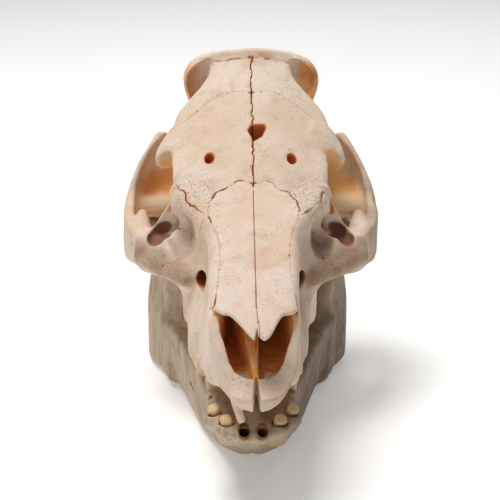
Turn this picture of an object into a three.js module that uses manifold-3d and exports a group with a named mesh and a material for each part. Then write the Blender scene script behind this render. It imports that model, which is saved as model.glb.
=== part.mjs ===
// A domestic pig's skull at life size, cranium and mandible set together as they lie on a table.
// Millimetres, +Z up. The face looks along -Y and the animal's own left side is at +X.
// Inside this file y runs back from the tip of the snout and z = 0 is the plane where the teeth meet.
import * as THREE from "three";
import { mergeVertices } from "three/addons/utils/BufferGeometryUtils.js";
import Module from "manifold-3d";

// Driving dimensions
const NASAL_TIP_BEND = 1.5;
const MANDIBLE_SHIFT = -1.5;
const CREST_Y = 237;
const CREST_HALF_WIDTH = 43;
const CREST_TOP = 145.3;
const CREST_LIP = 9;
const ARCH_HALF_WIDTH = 77.5;
const TABLE_Z = -51.5;
const SUTURE_GAP = 0.3;
const JAW_CLEARANCE = 1.2;
const JAW_CLEAR_FROM_Z = -6;
// The face, with its concave cheeks, runs into the braincase between FACE_END and CASE_START.
const FACE_END = 136;
const CASE_START = 152;
const CHEEK_TEETH = { from: 56, upperTo: 166, lowerTo: 168, crown: 14 };
const UPPER_CROWNS = { bottom: 1, top: 12, narrow: 5, wide: 7.5 };
const LOWER_CROWNS = { bottom: -14, top: -1.1, narrow: 4.5, wide: 6.5 };
// Fineness of the surface
const GRID_STEP = 3;
const CRANIUM_TRIANGLES = 3350;
const MANDIBLE_TRIANGLES = 1400;
const CRANIUM_BOX = [[-84, -4, -10], [84, 248, 152]];
const MANDIBLE_BOX = [[-72, -4, -57], [72, 226, 56]];
const REACH = 110;
const BONE_COLOUR = 0xe3d2bb;
const SNOUT_COLOUR = 0xe8d8c4;
const JAW_COLOUR = 0xc0b39f;

// Lengthwise curves: each is a list of [y, value] stations joined by a smooth curve.
const ROOF_Z = lengthwise([[0, 38], [20, 46.5], [33, 51.5], [60, 60.5], [90, 70.5], [115, 79], [133, 86.5],
  [153, 97.8], [175, 109.5], [200, 123.8], [225, 137.8], [238, 145]]);
const SNOUT_TOP_HALF = lengthwise([[0, 12], [10, 19], [26, 22.5], [45, 23.4], [62, 24.2], [83, 25], [99, 26.5],
  [112, 33], [122, 39], [134, 43.5], [146, 45.5]]);
const SNOUT_MID_HALF = lengthwise([[0, 10], [10, 19], [26, 23.5], [45, 24], [62, 24.5], [83, 25], [95, 27.3],
  [104, 33], [112, 40], [122, 45], [146, 46]]);
const SNOUT_LOW_HALF = lengthwise([[0, 8], [4, 12.5], [10, 17.5], [20, 22], [35, 25.2], [50, 26.5], [60, 27.5],
  [66, 30], [72, 32.5], [85, 33.6], [100, 34], [125, 36.5], [150, 38], [168, 34]]);
const PALATE_Z = lengthwise([[0, 4], [10, 4.5], [22, 9], [45, 7], [60, 4], [150, 4], [168, 6]]);
const ROOF_HALF = lengthwise([[140, 45.5], [160, 47.5], [172, 48.5], [186, 49.5], [193, 48], [200, 44.5],
  [206, 39.5], [213, 32.5], [221, 27.5], [229, 25.8], [240, 26]]);
const CASE_HALF = lengthwise([[135, 26], [150, 23], [162, 24], [175, 29], [190, 33], [205, 35], [220, 34],
  [236, 32]]);
const BASE_HALF = lengthwise([[135, 24], [165, 15], [185, 13], [205, 16], [228, 19], [236, 17]]);
const BASE_Z = lengthwise([[140, 12], [165, 20], [180, 25], [200, 30], [220, 33], [236, 38]]);
// How far the sides of the face and cheeks lean to the animal's right, which makes it a little uneven.
const SIDEWAYS = lengthwise([[0, -0.4], [20, -1.2], [45, -2.2], [65, -3], [100, -3], [125, -1.8], [145, -1.3],
  [170, -1.3], [190, -0.6], [CREST_Y, 0.3]]);
const ARCH_OUTER = lengthwise([[118, 38], [128, 49], [140, 61], [150, 69], [162, 75], [175, ARCH_HALF_WIDTH],
  [188, 77.3], [198, 76], [206, 74], [214, 71]]);
const JAW_OUTER = lengthwise([[0, 9], [5, 14], [12, 19], [25, 22.5], [43, 24], [55, 24.5], [65, 26], [80, 29],
  [100, 34], [125, 40], [152, 48], [175, 56.5], [200, 62.3], [218, 62]]);
const JAW_OUTER_LOW = lengthwise([[0, 6], [20, 11], [40, 14], [60, 15.5], [72, 19.5], [80, 22.5], [99, 29],
  [119, 34.5], [148, 42], [174, 51], [190, 58], [200, 61], [218, 61.5]]);
const JAW_INNER = lengthwise([[60, -8], [72, 2], [85, 10], [100, 15], [125, 22], [152, 31], [175, 42],
  [200, 51], [218, 54]]);
const JAW_LOWER_Z = lengthwise([[0, -13], [8, -17], [20, -25.5], [40, -38], [60, -48], [74, -52.2], [92, -52.4],
  [120, -50.5], [150, -49.5], [180, -51], [202, -52.6], [220, -51]]);
const JAW_UPPER_Z = lengthwise([[0, -8.5], [9, -8], [18, -6], [30, -4], [46, -4], [62, -8.5], [100, -9],
  [150, -8], [170, -8]]);
const UPPER_ROW_HALF = lengthwise([[52, 23], [70, 24], [100, 24.5], [130, 26], [165, 28]]);
const LOWER_ROW_HALF = lengthwise([[52, 19.5], [70, 20], [100, 22], [130, 25], [165, 30]]);

// Outlines in side view, as [y, z].
const ARCH_SIDE = [[118, 44], [130, 35], [148, 31], [164, 30], [184, 37], [198, 42], [212, 44], [214, 68],
  [213, 88], [209, 97], [204, 92], [198, 77], [191, 66], [184, 60], [174, 56], [162, 54], [146, 52], [130, 56]];
const RAMUS_SIDE = [[158, -46], [160, -12], [166, 6], [175, 28], [182, 46], [187, 49], [191, 45], [196, 39.5],
  [204, 40], [211, 38], [214, 27], [213, 8], [216, -18], [217.5, -38], [213, -48], [200, -51]];
// Outlines in front or rear view, as [x, z], for one half.
const CREST_REAR = [[0, 30], [17, 34], [30, 40], [39, 52], [40, 70], [35, 92], [35, 104], [39, 114],
  [CREST_HALF_WIDTH, 125], [40.5, 134.5], [32, 141.5], [16, CREST_TOP - 0.8], [0, CREST_TOP]];
const CREST_OTHER_HALF = CREST_REAR.slice(1, -1).reverse().map(([x, z]) => [-x, z]);
const CREST_OUTLINE = softened([...CREST_REAR, ...CREST_OTHER_HALF], 2);
const POSTORBITAL_FRONT = [[38, 114], [48.5, 110], [53, 103.5], [55.6, 97], [57.2, 91], [56.6, 86.4],
  [53, 83.8], [46.5, 85], [38, 82]];
const RIM_FRONT = [[34, 84], [45.5, 84], [46.6, 79.5], [47.6, 75], [49, 71], [51, 66.4], [53.6, 61.6],
  [56.3, 56.9], [59.6, 53.4], [64, 49.5], [67, 44], [60, 38], [44, 40], [36, 52]];
const SQUAMA_REAR = [[26, 40], [66, 46], [64, 84], [57, 96], [44, 92], [26, 98]];
// The nasal opening, the free end of the nasal bones and the broken hole in the forehead, as [x, y] from above.
const NOSE_BACK = 105;
const NOSE_PLAN = [[-6, 14.5], [3, 14.6], [7, 15.2], [10.5, 16.6], [13.3, 19], [14.8, 22], [16.4, 25],
  [18.4, 28.5], [19.2, 32.6], [18.7, 38], [15, 70], [9, NOSE_BACK], [-6, NOSE_BACK]];
const TIP_PLAN = [[-6, 60], [-6, 12], [0, 12], [1.2, 10.4], [2.6, 10], [4.2, 11.3], [6.4, 14.6], [9.4, 20.5],
  [12.2, 25.2], [14, 27.4], [17, 27.8], [20, 29.5], [23, 34], [30, 60]];
const ROOF_HOLE = [[-2.4, 173.5], [-0.2, 177.6], [7.4, 178], [8, 175.4], [5.6, 168.6], [0.8, 165], [-0.8, 169]];
const ROOF_HOLE_DEPTH = 16;

// Rounded forms, as [centre, radii].
const EYE_SOCKET = [[53, 161, 69], [21, 16.5, 18.5]];
const CHEEK_HOLLOW = [[41.5, 116, 61], [8.5, 22, 12]];
const CHEEK_PIT = [[53, 141, 54.2], [7.2, 11, 5.1]];
const CHEEK_PIT_SLANT = 0.4;
const TEAR_KNOB = [[43.6, 140.5, 77.5], [3.4, 3, 4]];
const BROW_FORAMEN = [[24, 155, 94], [2.6, 4, 8]];
const OCCIPITAL_CONDYLE = [[14.5, 234, 41], [9, 10, 11]];
// Long tapered forms, as [start, end, radius at the start, radius at the end].
const FACIAL_CREST = [[36, 106, 40], [61, 141, 40], 5, 8];
const CHEEK_BODY = [[36, 130, 46], [58, 150, 44], 12.5, 6.8];
const TEAR_BONE_EDGE = [[37, 134, 76], [43.5, 142, 70], 8, 4];
const CHEEKBONE_HORN = [[65, 158, 45], [65.7, 173, 55.5], 8, 3.6];
const TEAR_HOLE = [[46.8, 142.5, 73], [48.4, 143.5, 67], 2.5, 1.9];
const SOCKET_BAR = [[30, 214, 52], [66, 203, 53], 10, 6.5];
const SOCKET_LIP = [[40, 216, 42.5], [62, 213.5, 42], 4, 3.5];
const JUGULAR_PROCESS = [[31, 222, 52], [28, 210, -2], 8, 2.6];
const EAR_BULLA = [[18, 200, 32], [17, 190, 15], 8, 4.5];
const PALATE_WING = [[13, 176, 26], [14, 170, 3], 5, 2.4];
const THROAT_OPENING = [[0, 172, 14], [0, 138, 16], 9, 7];
const SPINE_OPENING = [[0, 250, 54], [0, 222, 52], 9.5, 8];
const JAW_FRONT_EDGE = [[36, 166, -6], [45, 172, 9], 8, 5.5];
const JAW_CONDYLE = [[44, 207, 37], [62, 204, 38], 6, 5.8];
const FIRST_STUB_BASE = [[12.5, 20, -16], [14.2, 12.5, -9], 6, 4.6];
const SECOND_STUB_BASE = [[17.5, 32, -16], [20.8, 22, -8], 6, 4.6];
// The front teeth that are left, from the worn tip to the end of the root, and the empty sockets.
const LOWER_STUBS = [[[14.2, 12.8, -3.2], [11.5, 22, -17], 3.3, 2.6],
  [[20.8, 22, -1.4], [17.5, 31, -15], 3.2, 2.5]];
const EMPTY_SOCKETS = [[[4.7, 6, -9], [4.7, 13.5, -6.5], 2.8, 2.6], [[4.7, 9, -8], [4.7, 21, -20], 3, 2.2],
  [[23.2, 31, -1], [21, 37, -9], 2.4, 1.8], [[23.8, 41, -1], [22, 46, -10], 2.5, 1.8]];
const UPPER_PEG = [[7.2, 3, -1], [13.5, 10, 9], 2.5, 2.6];
const UPPER_PEG_BOTTOM = -5;

// Bones of the cranium. A bone is what lies inside its outline from above, [x, y], and from the side, [y, z].
const NASAL_PLAN = [[0, -8], [26, -8], [26, 33], [21.4, 36], [20.6, 46], [19.2, 58], [18.6, 74], [19.2, 84],
  [21, 95], [24.5, 105], [26, 114], [24.5, 122], [20.5, 129], [15, 131], [11, 134.5], [6, 136], [0, 133.5]];
const FRONTAL_PLAN = [[0, 100], [20, 100], [29, 112], [38, 126], [47, 146], [62, 160], [62, 184], [47, 185],
  [42, 187], [34, 193], [26, 198.5], [18.5, 202.5], [11, 204], [0, 202.5]];
const TEAR_BONE_PLAN = [[20, 106], [40, 106], [50, 136], [52, 151], [44, 153], [30, 140]];
const NASAL_SIDE = [[-8, 34], [10, 36.5], [33, 45], [60, 53.5], [90, 63], [115, 71.5], [140, 83], [140, 110],
  [-8, 110]];
const FRONTAL_SIDE = [[98, 66], [118, 74], [140, 78], [158, 82.5], [186, 83], [206, 104], [206, 150],
  [98, 150]];
const TEAR_BONE_SIDE = [[104, 62], [126, 58], [146, 58], [156, 66], [156, 92], [104, 92]];
const PREMAXILLA_SIDE = [[-8, -8], [33, -8], [37, 12], [46, 32], [74, 53], [74, 75], [-8, 75]];
const CHEEKBONE_SIDE = [[114, 46], [124, 32], [138, 24], [178, 24], [187, 50], [184, 76], [150, 70], [136, 62]];
const CHEEKBONE_INNER = 33;
const MAXILLA_SIDE = [[20, -8], [172, -8], [172, 12], [150, 25], [128, 34], [118, 52], [106, 90], [20, 90]];
const OCCIPITAL_SIDE = [[229.5, 170], [229.5, 138], [224, 95], [221, 42], [203, 30], [200, -12], [260, -12],
  [260, 170]];
const TEMPORAL_PLAN = [[25, 184], [58, 170], [95, 166], [95, 240], [28, 240], [25, 226]];
const TEMPORAL_SIDE = [[160, 20], [240, 20], [240, 100], [160, 100]];
const PARIETAL_SIDE = [[150, 88], [236, 112], [236, 175], [150, 175]];
const HALF_PLAN = [[0, -30], [REACH, -30], [REACH, 280], [0, 280]];
const WHOLE_PLAN = [[-REACH, -30], [REACH, -30], [REACH, 280], [-REACH, 280]];
const TABLE_FLAT = [[-200, -60], [200, -60], [200, 320], [-200, 320]];
// In this order: each bone takes what lies in its region from what the ones before it leave.
const BONES = [
  { name: "nasal", paired: true, plan: NASAL_PLAN, side: NASAL_SIDE, colour: SNOUT_COLOUR },
  { name: "frontal", paired: true, plan: FRONTAL_PLAN, side: FRONTAL_SIDE, colour: BONE_COLOUR },
  { name: "lacrimal", paired: true, plan: TEAR_BONE_PLAN, side: TEAR_BONE_SIDE, colour: BONE_COLOUR },
  { name: "premaxilla", paired: true, side: PREMAXILLA_SIDE, colour: SNOUT_COLOUR },
  { name: "zygomatic", paired: true, inner: CHEEKBONE_INNER, side: CHEEKBONE_SIDE, colour: BONE_COLOUR },
  { name: "maxilla", paired: true, side: MAXILLA_SIDE, colour: BONE_COLOUR },
  { name: "occipital", paired: false, side: OCCIPITAL_SIDE, colour: BONE_COLOUR },
  { name: "parietal", paired: false, side: PARIETAL_SIDE, colour: BONE_COLOUR },
  { name: "temporal", paired: true, plan: TEMPORAL_PLAN, side: TEMPORAL_SIDE, colour: BONE_COLOUR },
];

function mix(a, b, t) {
  return a + (b - a) * t;
}

function clip(value) {
  return Math.min(1, Math.max(0, value));
}

function ramp(from, to, value) {
  const t = clip((value - from) / (to - from));
  return t * t * (3 - 2 * t);
}

function lengthwise(stations) {
  // A smooth curve through the stations: each slope is the mean of its neighbours' slopes.
  const slope = stations.map((s, i) => {
    const before = stations[Math.max(i - 1, 0)];
    const after = stations[Math.min(i + 1, stations.length - 1)];
    return (after[1] - before[1]) / (after[0] - before[0]);
  });
  const last = stations.length - 1;
  return (y) => {
    if (y <= stations[0][0]) return stations[0][1];
    if (y >= stations[last][0]) return stations[last][1];
    let i = 0;
    while (stations[i + 1][0] < y) i++;
    const span = stations[i + 1][0] - stations[i][0];
    const t = (y - stations[i][0]) / span;
    const s = 1 - t;
    const start = stations[i][1] * (1 + 2 * t) + slope[i] * span * t;
    const end = stations[i + 1][1] * (1 + 2 * s) - slope[i + 1] * span * s;
    return start * s * s + end * t * t;
  };
}

function softened(outline, times) {
  // The closed outline with its corners cut off, that many times.
  let points = outline;
  for (let n = 0; n < times; n++) {
    points = points.flatMap(([bu, bv], i, all) => {
      const [au, av] = all.at(i - 1);
      return [0.25, 0.75].map((t) => [mix(au, bu, t), mix(av, bv, t)]);
    });
  }
  return points;
}

// Distances are negative inside. The last number rounds the corner between the two forms.
function join(a, b, round) {
  const h = Math.max(round - Math.abs(a - b), 0) / round;
  return Math.min(a, b) - (h * h * round) / 4;
}

function overlap(a, b, round) {
  return -join(-a, -b, round);
}

function carve(a, b, round) {
  return overlap(a, -b, round);
}

function ellipsoid(x, y, z, centre, radii) {
  const u = [(x - centre[0]) / radii[0], (y - centre[1]) / radii[1], (z - centre[2]) / radii[2]];
  const k = Math.hypot(...u);
  const g = Math.hypot(u[0] / radii[0], u[1] / radii[1], u[2] / radii[2]);
  return g > 0 ? (k * (k - 1)) / g : -Math.min(...radii);
}

function capsule(x, y, z, a, b, startRadius, endRadius) {
  const d = [b[0] - a[0], b[1] - a[1], b[2] - a[2]];
  const p = [x - a[0], y - a[1], z - a[2]];
  const t = clip((p[0] * d[0] + p[1] * d[1] + p[2] * d[2]) / (d[0] ** 2 + d[1] ** 2 + d[2] ** 2));
  return Math.hypot(p[0] - d[0] * t, p[1] - d[1] * t, p[2] - d[2] * t) - mix(startRadius, endRadius, t);
}

function flatOutline(points, u, v) {
  // Signed distance in the plane from (u, v) to a closed outline.
  let nearest = Infinity;
  let inside = false;
  for (let i = 0, j = points.length - 1; i < points.length; j = i++) {
    const [au, av] = points[j];
    const [bu, bv] = points[i];
    const t = clip(((u - au) * (bu - au) + (v - av) * (bv - av)) / ((bu - au) ** 2 + (bv - av) ** 2));
    nearest = Math.min(nearest, Math.hypot(u - au - (bu - au) * t, v - av - (bv - av) * t));
    if (bv > v !== av > v && u < ((au - bu) * (v - bv)) / (av - bv) + bu) inside = !inside;
  }
  return inside ? -nearest : nearest;
}

function evened(x, y, z) {
  // Distance from the middle if the skull were even on both sides.
  const lowOnFace = mix(0.1, 1, ramp(62, 26, z));
  const offMiddle = ramp(8, 26, Math.abs(x)) * mix(1, 0.3, ramp(50, 72, Math.abs(x)));
  return Math.abs(x - SIDEWAYS(y) * mix(lowOnFace, 1, ramp(115, 140, y)) * offMiddle);
}

function faceHalf(y, z) {
  const low = SNOUT_LOW_HALF(y);
  const mid = SNOUT_MID_HALF(y);
  if (z < 44) return mix(low, mid, ramp(16, 40, z));
  return mix(mid, SNOUT_TOP_HALF(y), ramp(44, ROOF_Z(y) - 4, z));
}

function caseHalf(y, z) {
  const edge = ROOF_Z(y) - 9;
  const wall = mix(BASE_HALF(y), CASE_HALF(y), ramp(34, 66, z));
  const overhang = Math.max(ROOF_HALF(y) - CASE_HALF(y), 0);
  const narrow = Math.min(ROOF_HALF(y) - CASE_HALF(y), 0);
  return wall + overhang * ramp(edge - 17, edge, z) + narrow * ramp(edge - 34, edge + 4, z);
}

function headBlock(ax, y, z) {
  const back = ramp(FACE_END, CASE_START, y);
  const roof = ROOF_Z(y) - mix(0.0016, 0.0045, ramp(100, 170, y)) * ax * ax;
  const half = mix(faceHalf(y, z), caseHalf(y, z), back);
  let d = overlap(ax - half, z - roof, mix(7, 5, back));
  const rise = 0.018 * ramp(28, 10, y) * ax * ax;
  d = overlap(d, mix(PALATE_Z(y) + rise, BASE_Z(y), back) - z, 5);
  d = overlap(d, -y, 4);
  d = overlap(d, y - CREST_Y - 1, 4);
  // Upper jaw behind the hard palate's last teeth.
  const ends = Math.max(PALATE_Z(y) - z, y - 168, 130 - y);
  return join(d, overlap(overlap(ax - SNOUT_LOW_HALF(y), z - 30, 10), ends, 6), 8);
}

function nuchalPlate(ax, y, z) {
  // The occipital plate leans forward below the crest, is hollow behind and has a raised rim.
  const outline = y > 195 ? flatOutline(CREST_OUTLINE, ax, z) : 40;
  const middle = CREST_Y - 3 - 0.055 * (CREST_TOP - z) + 0.0018 * ax * ax;
  const half = mix(7, 2.4, ramp(95, 134, z));
  const plate = overlap(Math.abs(y - middle) - half, outline, 3);
  const lip = CREST_LIP * ramp(20, 31, ax) * ramp(92, 108, z) * ramp(146, 134, z);
  const rim = overlap(Math.abs(outline + 1.7) - 1.6, Math.max(middle - half - lip - y, y - middle), 1);
  return join(plate, rim, 2);
}

function zygomaticArch(ax, y, z) {
  const outer = ARCH_OUTER(y) - 0.0085 * Math.max(z - 55, 0) ** 2;
  const flare = (ARCH_OUTER(y + 1) - ARCH_OUTER(y - 1)) / 2;
  const thick = mix(mix(9, 6.5, ramp(150, 195, y)), 4, ramp(50, 78, z));
  const across = (Math.abs(ax - outer + thick / 2) - thick / 2) / Math.hypot(1, flare);
  return overlap(across, flatOutline(ARCH_SIDE, y, z), 2.5);
}

function cheekRoot(ax, y, z) {
  // The maxilla and cheekbone flare out to the arch below the orbit.
  return join(capsule(ax, y, z, ...FACIAL_CREST), capsule(ax, y, z, ...CHEEK_BODY), 6);
}

function orbitRim(ax, y, z) {
  // A thin edge that leans back as it comes down from the tear bone, and the horn of the cheekbone.
  const front = flatOutline(RIM_FRONT, ax, z);
  const half = 1.8 + 0.35 * Math.min(8, Math.max(0, -front));
  const wall = overlap(Math.abs(y - 143.5 - 0.386 * (75 - z)) / 1.07 - half, front, 1.5);
  const knob = join(capsule(ax, y, z, ...TEAR_BONE_EDGE), ellipsoid(ax, y, z, ...TEAR_KNOB), 2);
  return join(join(knob, wall, 2), capsule(ax, y, z, ...CHEEKBONE_HORN), 6);
}

function cheekPit(ax, y, z) {
  const slant = CHEEK_PIT_SLANT * (ax - CHEEK_PIT[0][0]);
  return Math.min(ellipsoid(ax, y, z + slant, ...CHEEK_PIT), capsule(ax, y, z, ...TEAR_HOLE));
}

function postorbitalProcess(ax, y, z) {
  // A flat tongue that hangs from the edge of the roof behind the orbit.
  const middle = mix(175, 180, ramp(92, 106, z));
  const thick = mix(2.4, 6, ramp(88, 104, z));
  const tongue = overlap(Math.abs(y - middle) - thick, flatOutline(POSTORBITAL_FRONT, ax, z), 3);
  return overlap(tongue, z - ROOF_Z(y) + 0.0043 * ax * ax, 3);
}

function jawSocket(ax, y, z) {
  // The back wall of the temporal fossa and the bar that the mandible's condyle meets.
  const middle = mix(207, 214, ramp(40, 96, z)) + 0.006 * (ax - 45) ** 2;
  const wall = overlap(Math.abs(y - middle) - 3.4, flatOutline(SQUAMA_REAR, ax, z), 4);
  return join(join(capsule(ax, y, z, ...SOCKET_BAR), wall, 8), capsule(ax, y, z, ...SOCKET_LIP), 3);
}

function skullBase(ax, y, z) {
  let d = join(ellipsoid(ax, y, z, ...OCCIPITAL_CONDYLE), capsule(ax, y, z, ...JUGULAR_PROCESS), 5);
  d = join(d, capsule(ax, y, z, ...EAR_BULLA), 4);
  return join(d, capsule(ax, y, z, ...PALATE_WING), 5);
}

function toothRow(ax, y, z, half, to, crowns) {
  // A cheek-tooth row: crowns as a scalloped bar that widens towards the back.
  const turn = ((y - CHEEK_TEETH.from) * 2 * Math.PI) / CHEEK_TEETH.crown;
  const width = mix(crowns.narrow, crowns.wide, ramp(CHEEK_TEETH.from, to, y)) + 0.9 * Math.cos(turn);
  const d = overlap(Math.abs(ax - half) - width, Math.max(CHEEK_TEETH.from - y, y - to), 3);
  return overlap(d, Math.max(crowns.bottom - z, z - crowns.top - 0.7 * Math.cos(2 * turn)), 1.5);
}

function peg(x, y, z, tip, root, tipRadius, rootRadius) {
  // A tapered round tooth with a flat, worn tip.
  const run = new THREE.Vector3(...root).sub(new THREE.Vector3(...tip));
  const from = new THREE.Vector3(x, y, z).sub(new THREE.Vector3(...tip));
  const length = run.length();
  const along = from.dot(run) / length;
  const around = Math.sqrt(Math.max(from.lengthSq() - along ** 2, 0));
  const radius = mix(tipRadius, rootRadius, clip(along / length));
  return overlap(around - radius, Math.max(-along, along - length), 0.8);
}

function nasalThickness(y) {
  return mix(3.4, 5.5, ramp(14, 50, y));
}

function noseCavity(ax, y, z) {
  const d = overlap(flatOutline(NOSE_PLAN, ax, y), z - ROOF_Z(y) + nasalThickness(y), 4);
  return overlap(d, 13.36 + 0.03 * y - 0.02 * ax - z, 5);
}

function vomer(x, y, z) {
  // The bones of the nasal floor rise as a wall along the midline, thicker on the animal's right.
  const back = Math.max(y - 15, 0);
  const side = x < 0 ? -x - 1.9 - 0.2 * back : x - 1.8;
  return overlap(side, z - Math.min(18.6 + 0.55 * back, 36) - 0.02 * x * x, 1);
}

function palateSlit(ax, y) {
  const along = clip((y - 19) / 12);
  return Math.hypot(ax - 6 - along, y - 19 - 12 * along) - 2.3;
}

function faceTunnel(ax, y, z) {
  // The infraorbital opening in front of the cheek, which narrows as it runs back.
  const along = clip((y - 96) / 30);
  const across = Math.hypot((ax - mix(26.3, 22, along)) * 1.15, z - mix(41.8, 42.5, along)) - 5.4;
  return overlap(across / 1.2, Math.max(86 + 0.6 * (42 - z) - y, y - 126), 2);
}

function noseNotch(x, y, z) {
  // Open in front of the nasal bones and above the edge of the premaxillae.
  const edge = 13 + 33 * ramp(4, 38, y) ** 1.15;
  const underHood = overlap(z - ROOF_Z(y) + nasalThickness(y), edge - z, 2);
  const bevel = 0.9 * Math.max(ROOF_Z(y) - 1 - z, 0);
  const beside = -flatOutline(TIP_PLAN, Math.abs(x - NASAL_TIP_BEND * ramp(34, 9, y)), y - bevel);
  const besideTip = overlap(Math.max(edge - z, y - 34), beside, 1.5);
  return Math.max(Math.min(Math.max(underHood, y - 40), besideTip), Math.abs(x) - 40);
}

function cranium(x, y, z) {
  const ax = evened(x, y, z);
  let d = join(headBlock(ax, y, z), cheekRoot(ax, y, z), 6);
  d = carve(d, ellipsoid(ax, y, z, ...EYE_SOCKET), 5);
  d = join(d, nuchalPlate(ax, y, z), 5);
  d = join(d, zygomaticArch(ax, y, z), 7);
  d = join(d, orbitRim(ax, y, z), 3);
  d = carve(d, ellipsoid(ax, y, z, ...CHEEK_HOLLOW), 6);
  d = carve(d, cheekPit(ax, y, z), 2.5);
  d = join(d, postorbitalProcess(ax, y, z), 5);
  d = join(d, jawSocket(ax, y, z), 9);
  d = join(d, skullBase(ax, y, z), 5);
  d = join(d, toothRow(ax, y, z, UPPER_ROW_HALF(y), CHEEK_TEETH.upperTo, UPPER_CROWNS), 1.5);
  if (y < NOSE_BACK + 10) d = carve(d, carve(noseCavity(Math.abs(x), y, z), vomer(x, y, z), 1), 1.5);
  if (y < 60) d = carve(d, noseNotch(x, y, z), 1.5);
  d = carve(d, Math.max(palateSlit(ax, y), z - 24), 1);
  d = carve(d, faceTunnel(ax, y, z), 1);
  d = carve(d, ellipsoid(ax, y, z, ...BROW_FORAMEN), 1);
  d = join(d, Math.max(peg(-x, y, z, ...UPPER_PEG), UPPER_PEG_BOTTOM - z), 1);
  d = carve(d, Math.max(flatOutline(ROOF_HOLE, x, y), ROOF_Z(y) - ROOF_HOLE_DEPTH - z), 1);
  // The two premaxillae part in front.
  d = carve(d, Math.max(Math.abs(x) - 2, y - 17), 2);
  d = carve(d, capsule(ax, y, z, ...THROAT_OPENING), 4);
  return carve(d, capsule(ax, y, z, ...SPINE_OPENING), 3);
}

function mandible(x, y, z) {
  const ax = Math.abs(x - MANDIBLE_SHIFT);
  const lower = JAW_LOWER_Z(y);
  const upper = JAW_UPPER_Z(y);
  const depth = clip((upper - z) / (upper - lower));
  const outer = mix(JAW_OUTER(y), JAW_OUTER_LOW(y), depth ** 1.5);
  const inner = JAW_INNER(y) - 6 * (1 - depth) * ramp(70, 110, y);
  let d = overlap(ax - outer, inner - ax, 6);
  d = overlap(d, lower - z, mix(16, 8, ramp(50, 110, y)));
  d = overlap(d, z - upper, 5);
  d = overlap(d, -y + 3, 5);
  d = overlap(d, y - 172, 8);
  // The plate that rises to the joint stands closer to the midline at its front edge.
  const plate = mix(44, 58.8, ramp(158, 206, y)) - 4 * ramp(-10, 36, z);
  const thick = mix(5, 3.4, ramp(-30, 30, z));
  const ramus = overlap(Math.abs(ax - plate) / 1.08 - thick, flatOutline(RAMUS_SIDE, y, z), 5);
  d = join(d, ramus, 8);
  d = join(d, capsule(ax, y, z, ...JAW_FRONT_EDGE), 8);
  d = join(d, capsule(ax, y, z, ...JAW_CONDYLE), 5);
  d = join(d, toothRow(ax, y, z, LOWER_ROW_HALF(y), CHEEK_TEETH.lowerTo, LOWER_CROWNS), 1.5);
  d = join(d, capsule(ax, y, z, ...FIRST_STUB_BASE), 3);
  d = join(d, capsule(ax, y, z, ...SECOND_STUB_BASE), 3);
  d = Math.min(d, ...LOWER_STUBS.map((stub) => peg(ax, y, z, ...stub)));
  d = carve(d, Math.min(...EMPTY_SOCKETS.map((socket) => capsule(ax, y, z, ...socket))), 0.8);
  // Clear of the upper jaw and of the joint's socket.
  return z > JAW_CLEAR_FROM_Z ? Math.max(d, JAW_CLEARANCE - cranium(x, y, z)) : d;
}

// Corner order of the six tetrahedra that fill one grid cell, all of the same handedness.
const CELL_TETRAHEDRA = [[0, 1, 3, 7], [0, 5, 1, 7], [0, 3, 2, 7], [0, 2, 6, 7], [0, 4, 5, 7], [0, 6, 4, 7]];
// Same-handed orders of a tetrahedron's corners that bring the corners inside the form to the front.
const CORNER_ORDER = { 1: [0, 1, 2, 3], 2: [1, 0, 3, 2], 4: [2, 0, 1, 3], 8: [3, 1, 0, 2], 3: [0, 1, 2, 3],
  5: [0, 2, 3, 1], 9: [0, 3, 1, 2], 6: [1, 2, 0, 3], 10: [1, 3, 2, 0], 12: [2, 3, 0, 1] };

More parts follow.
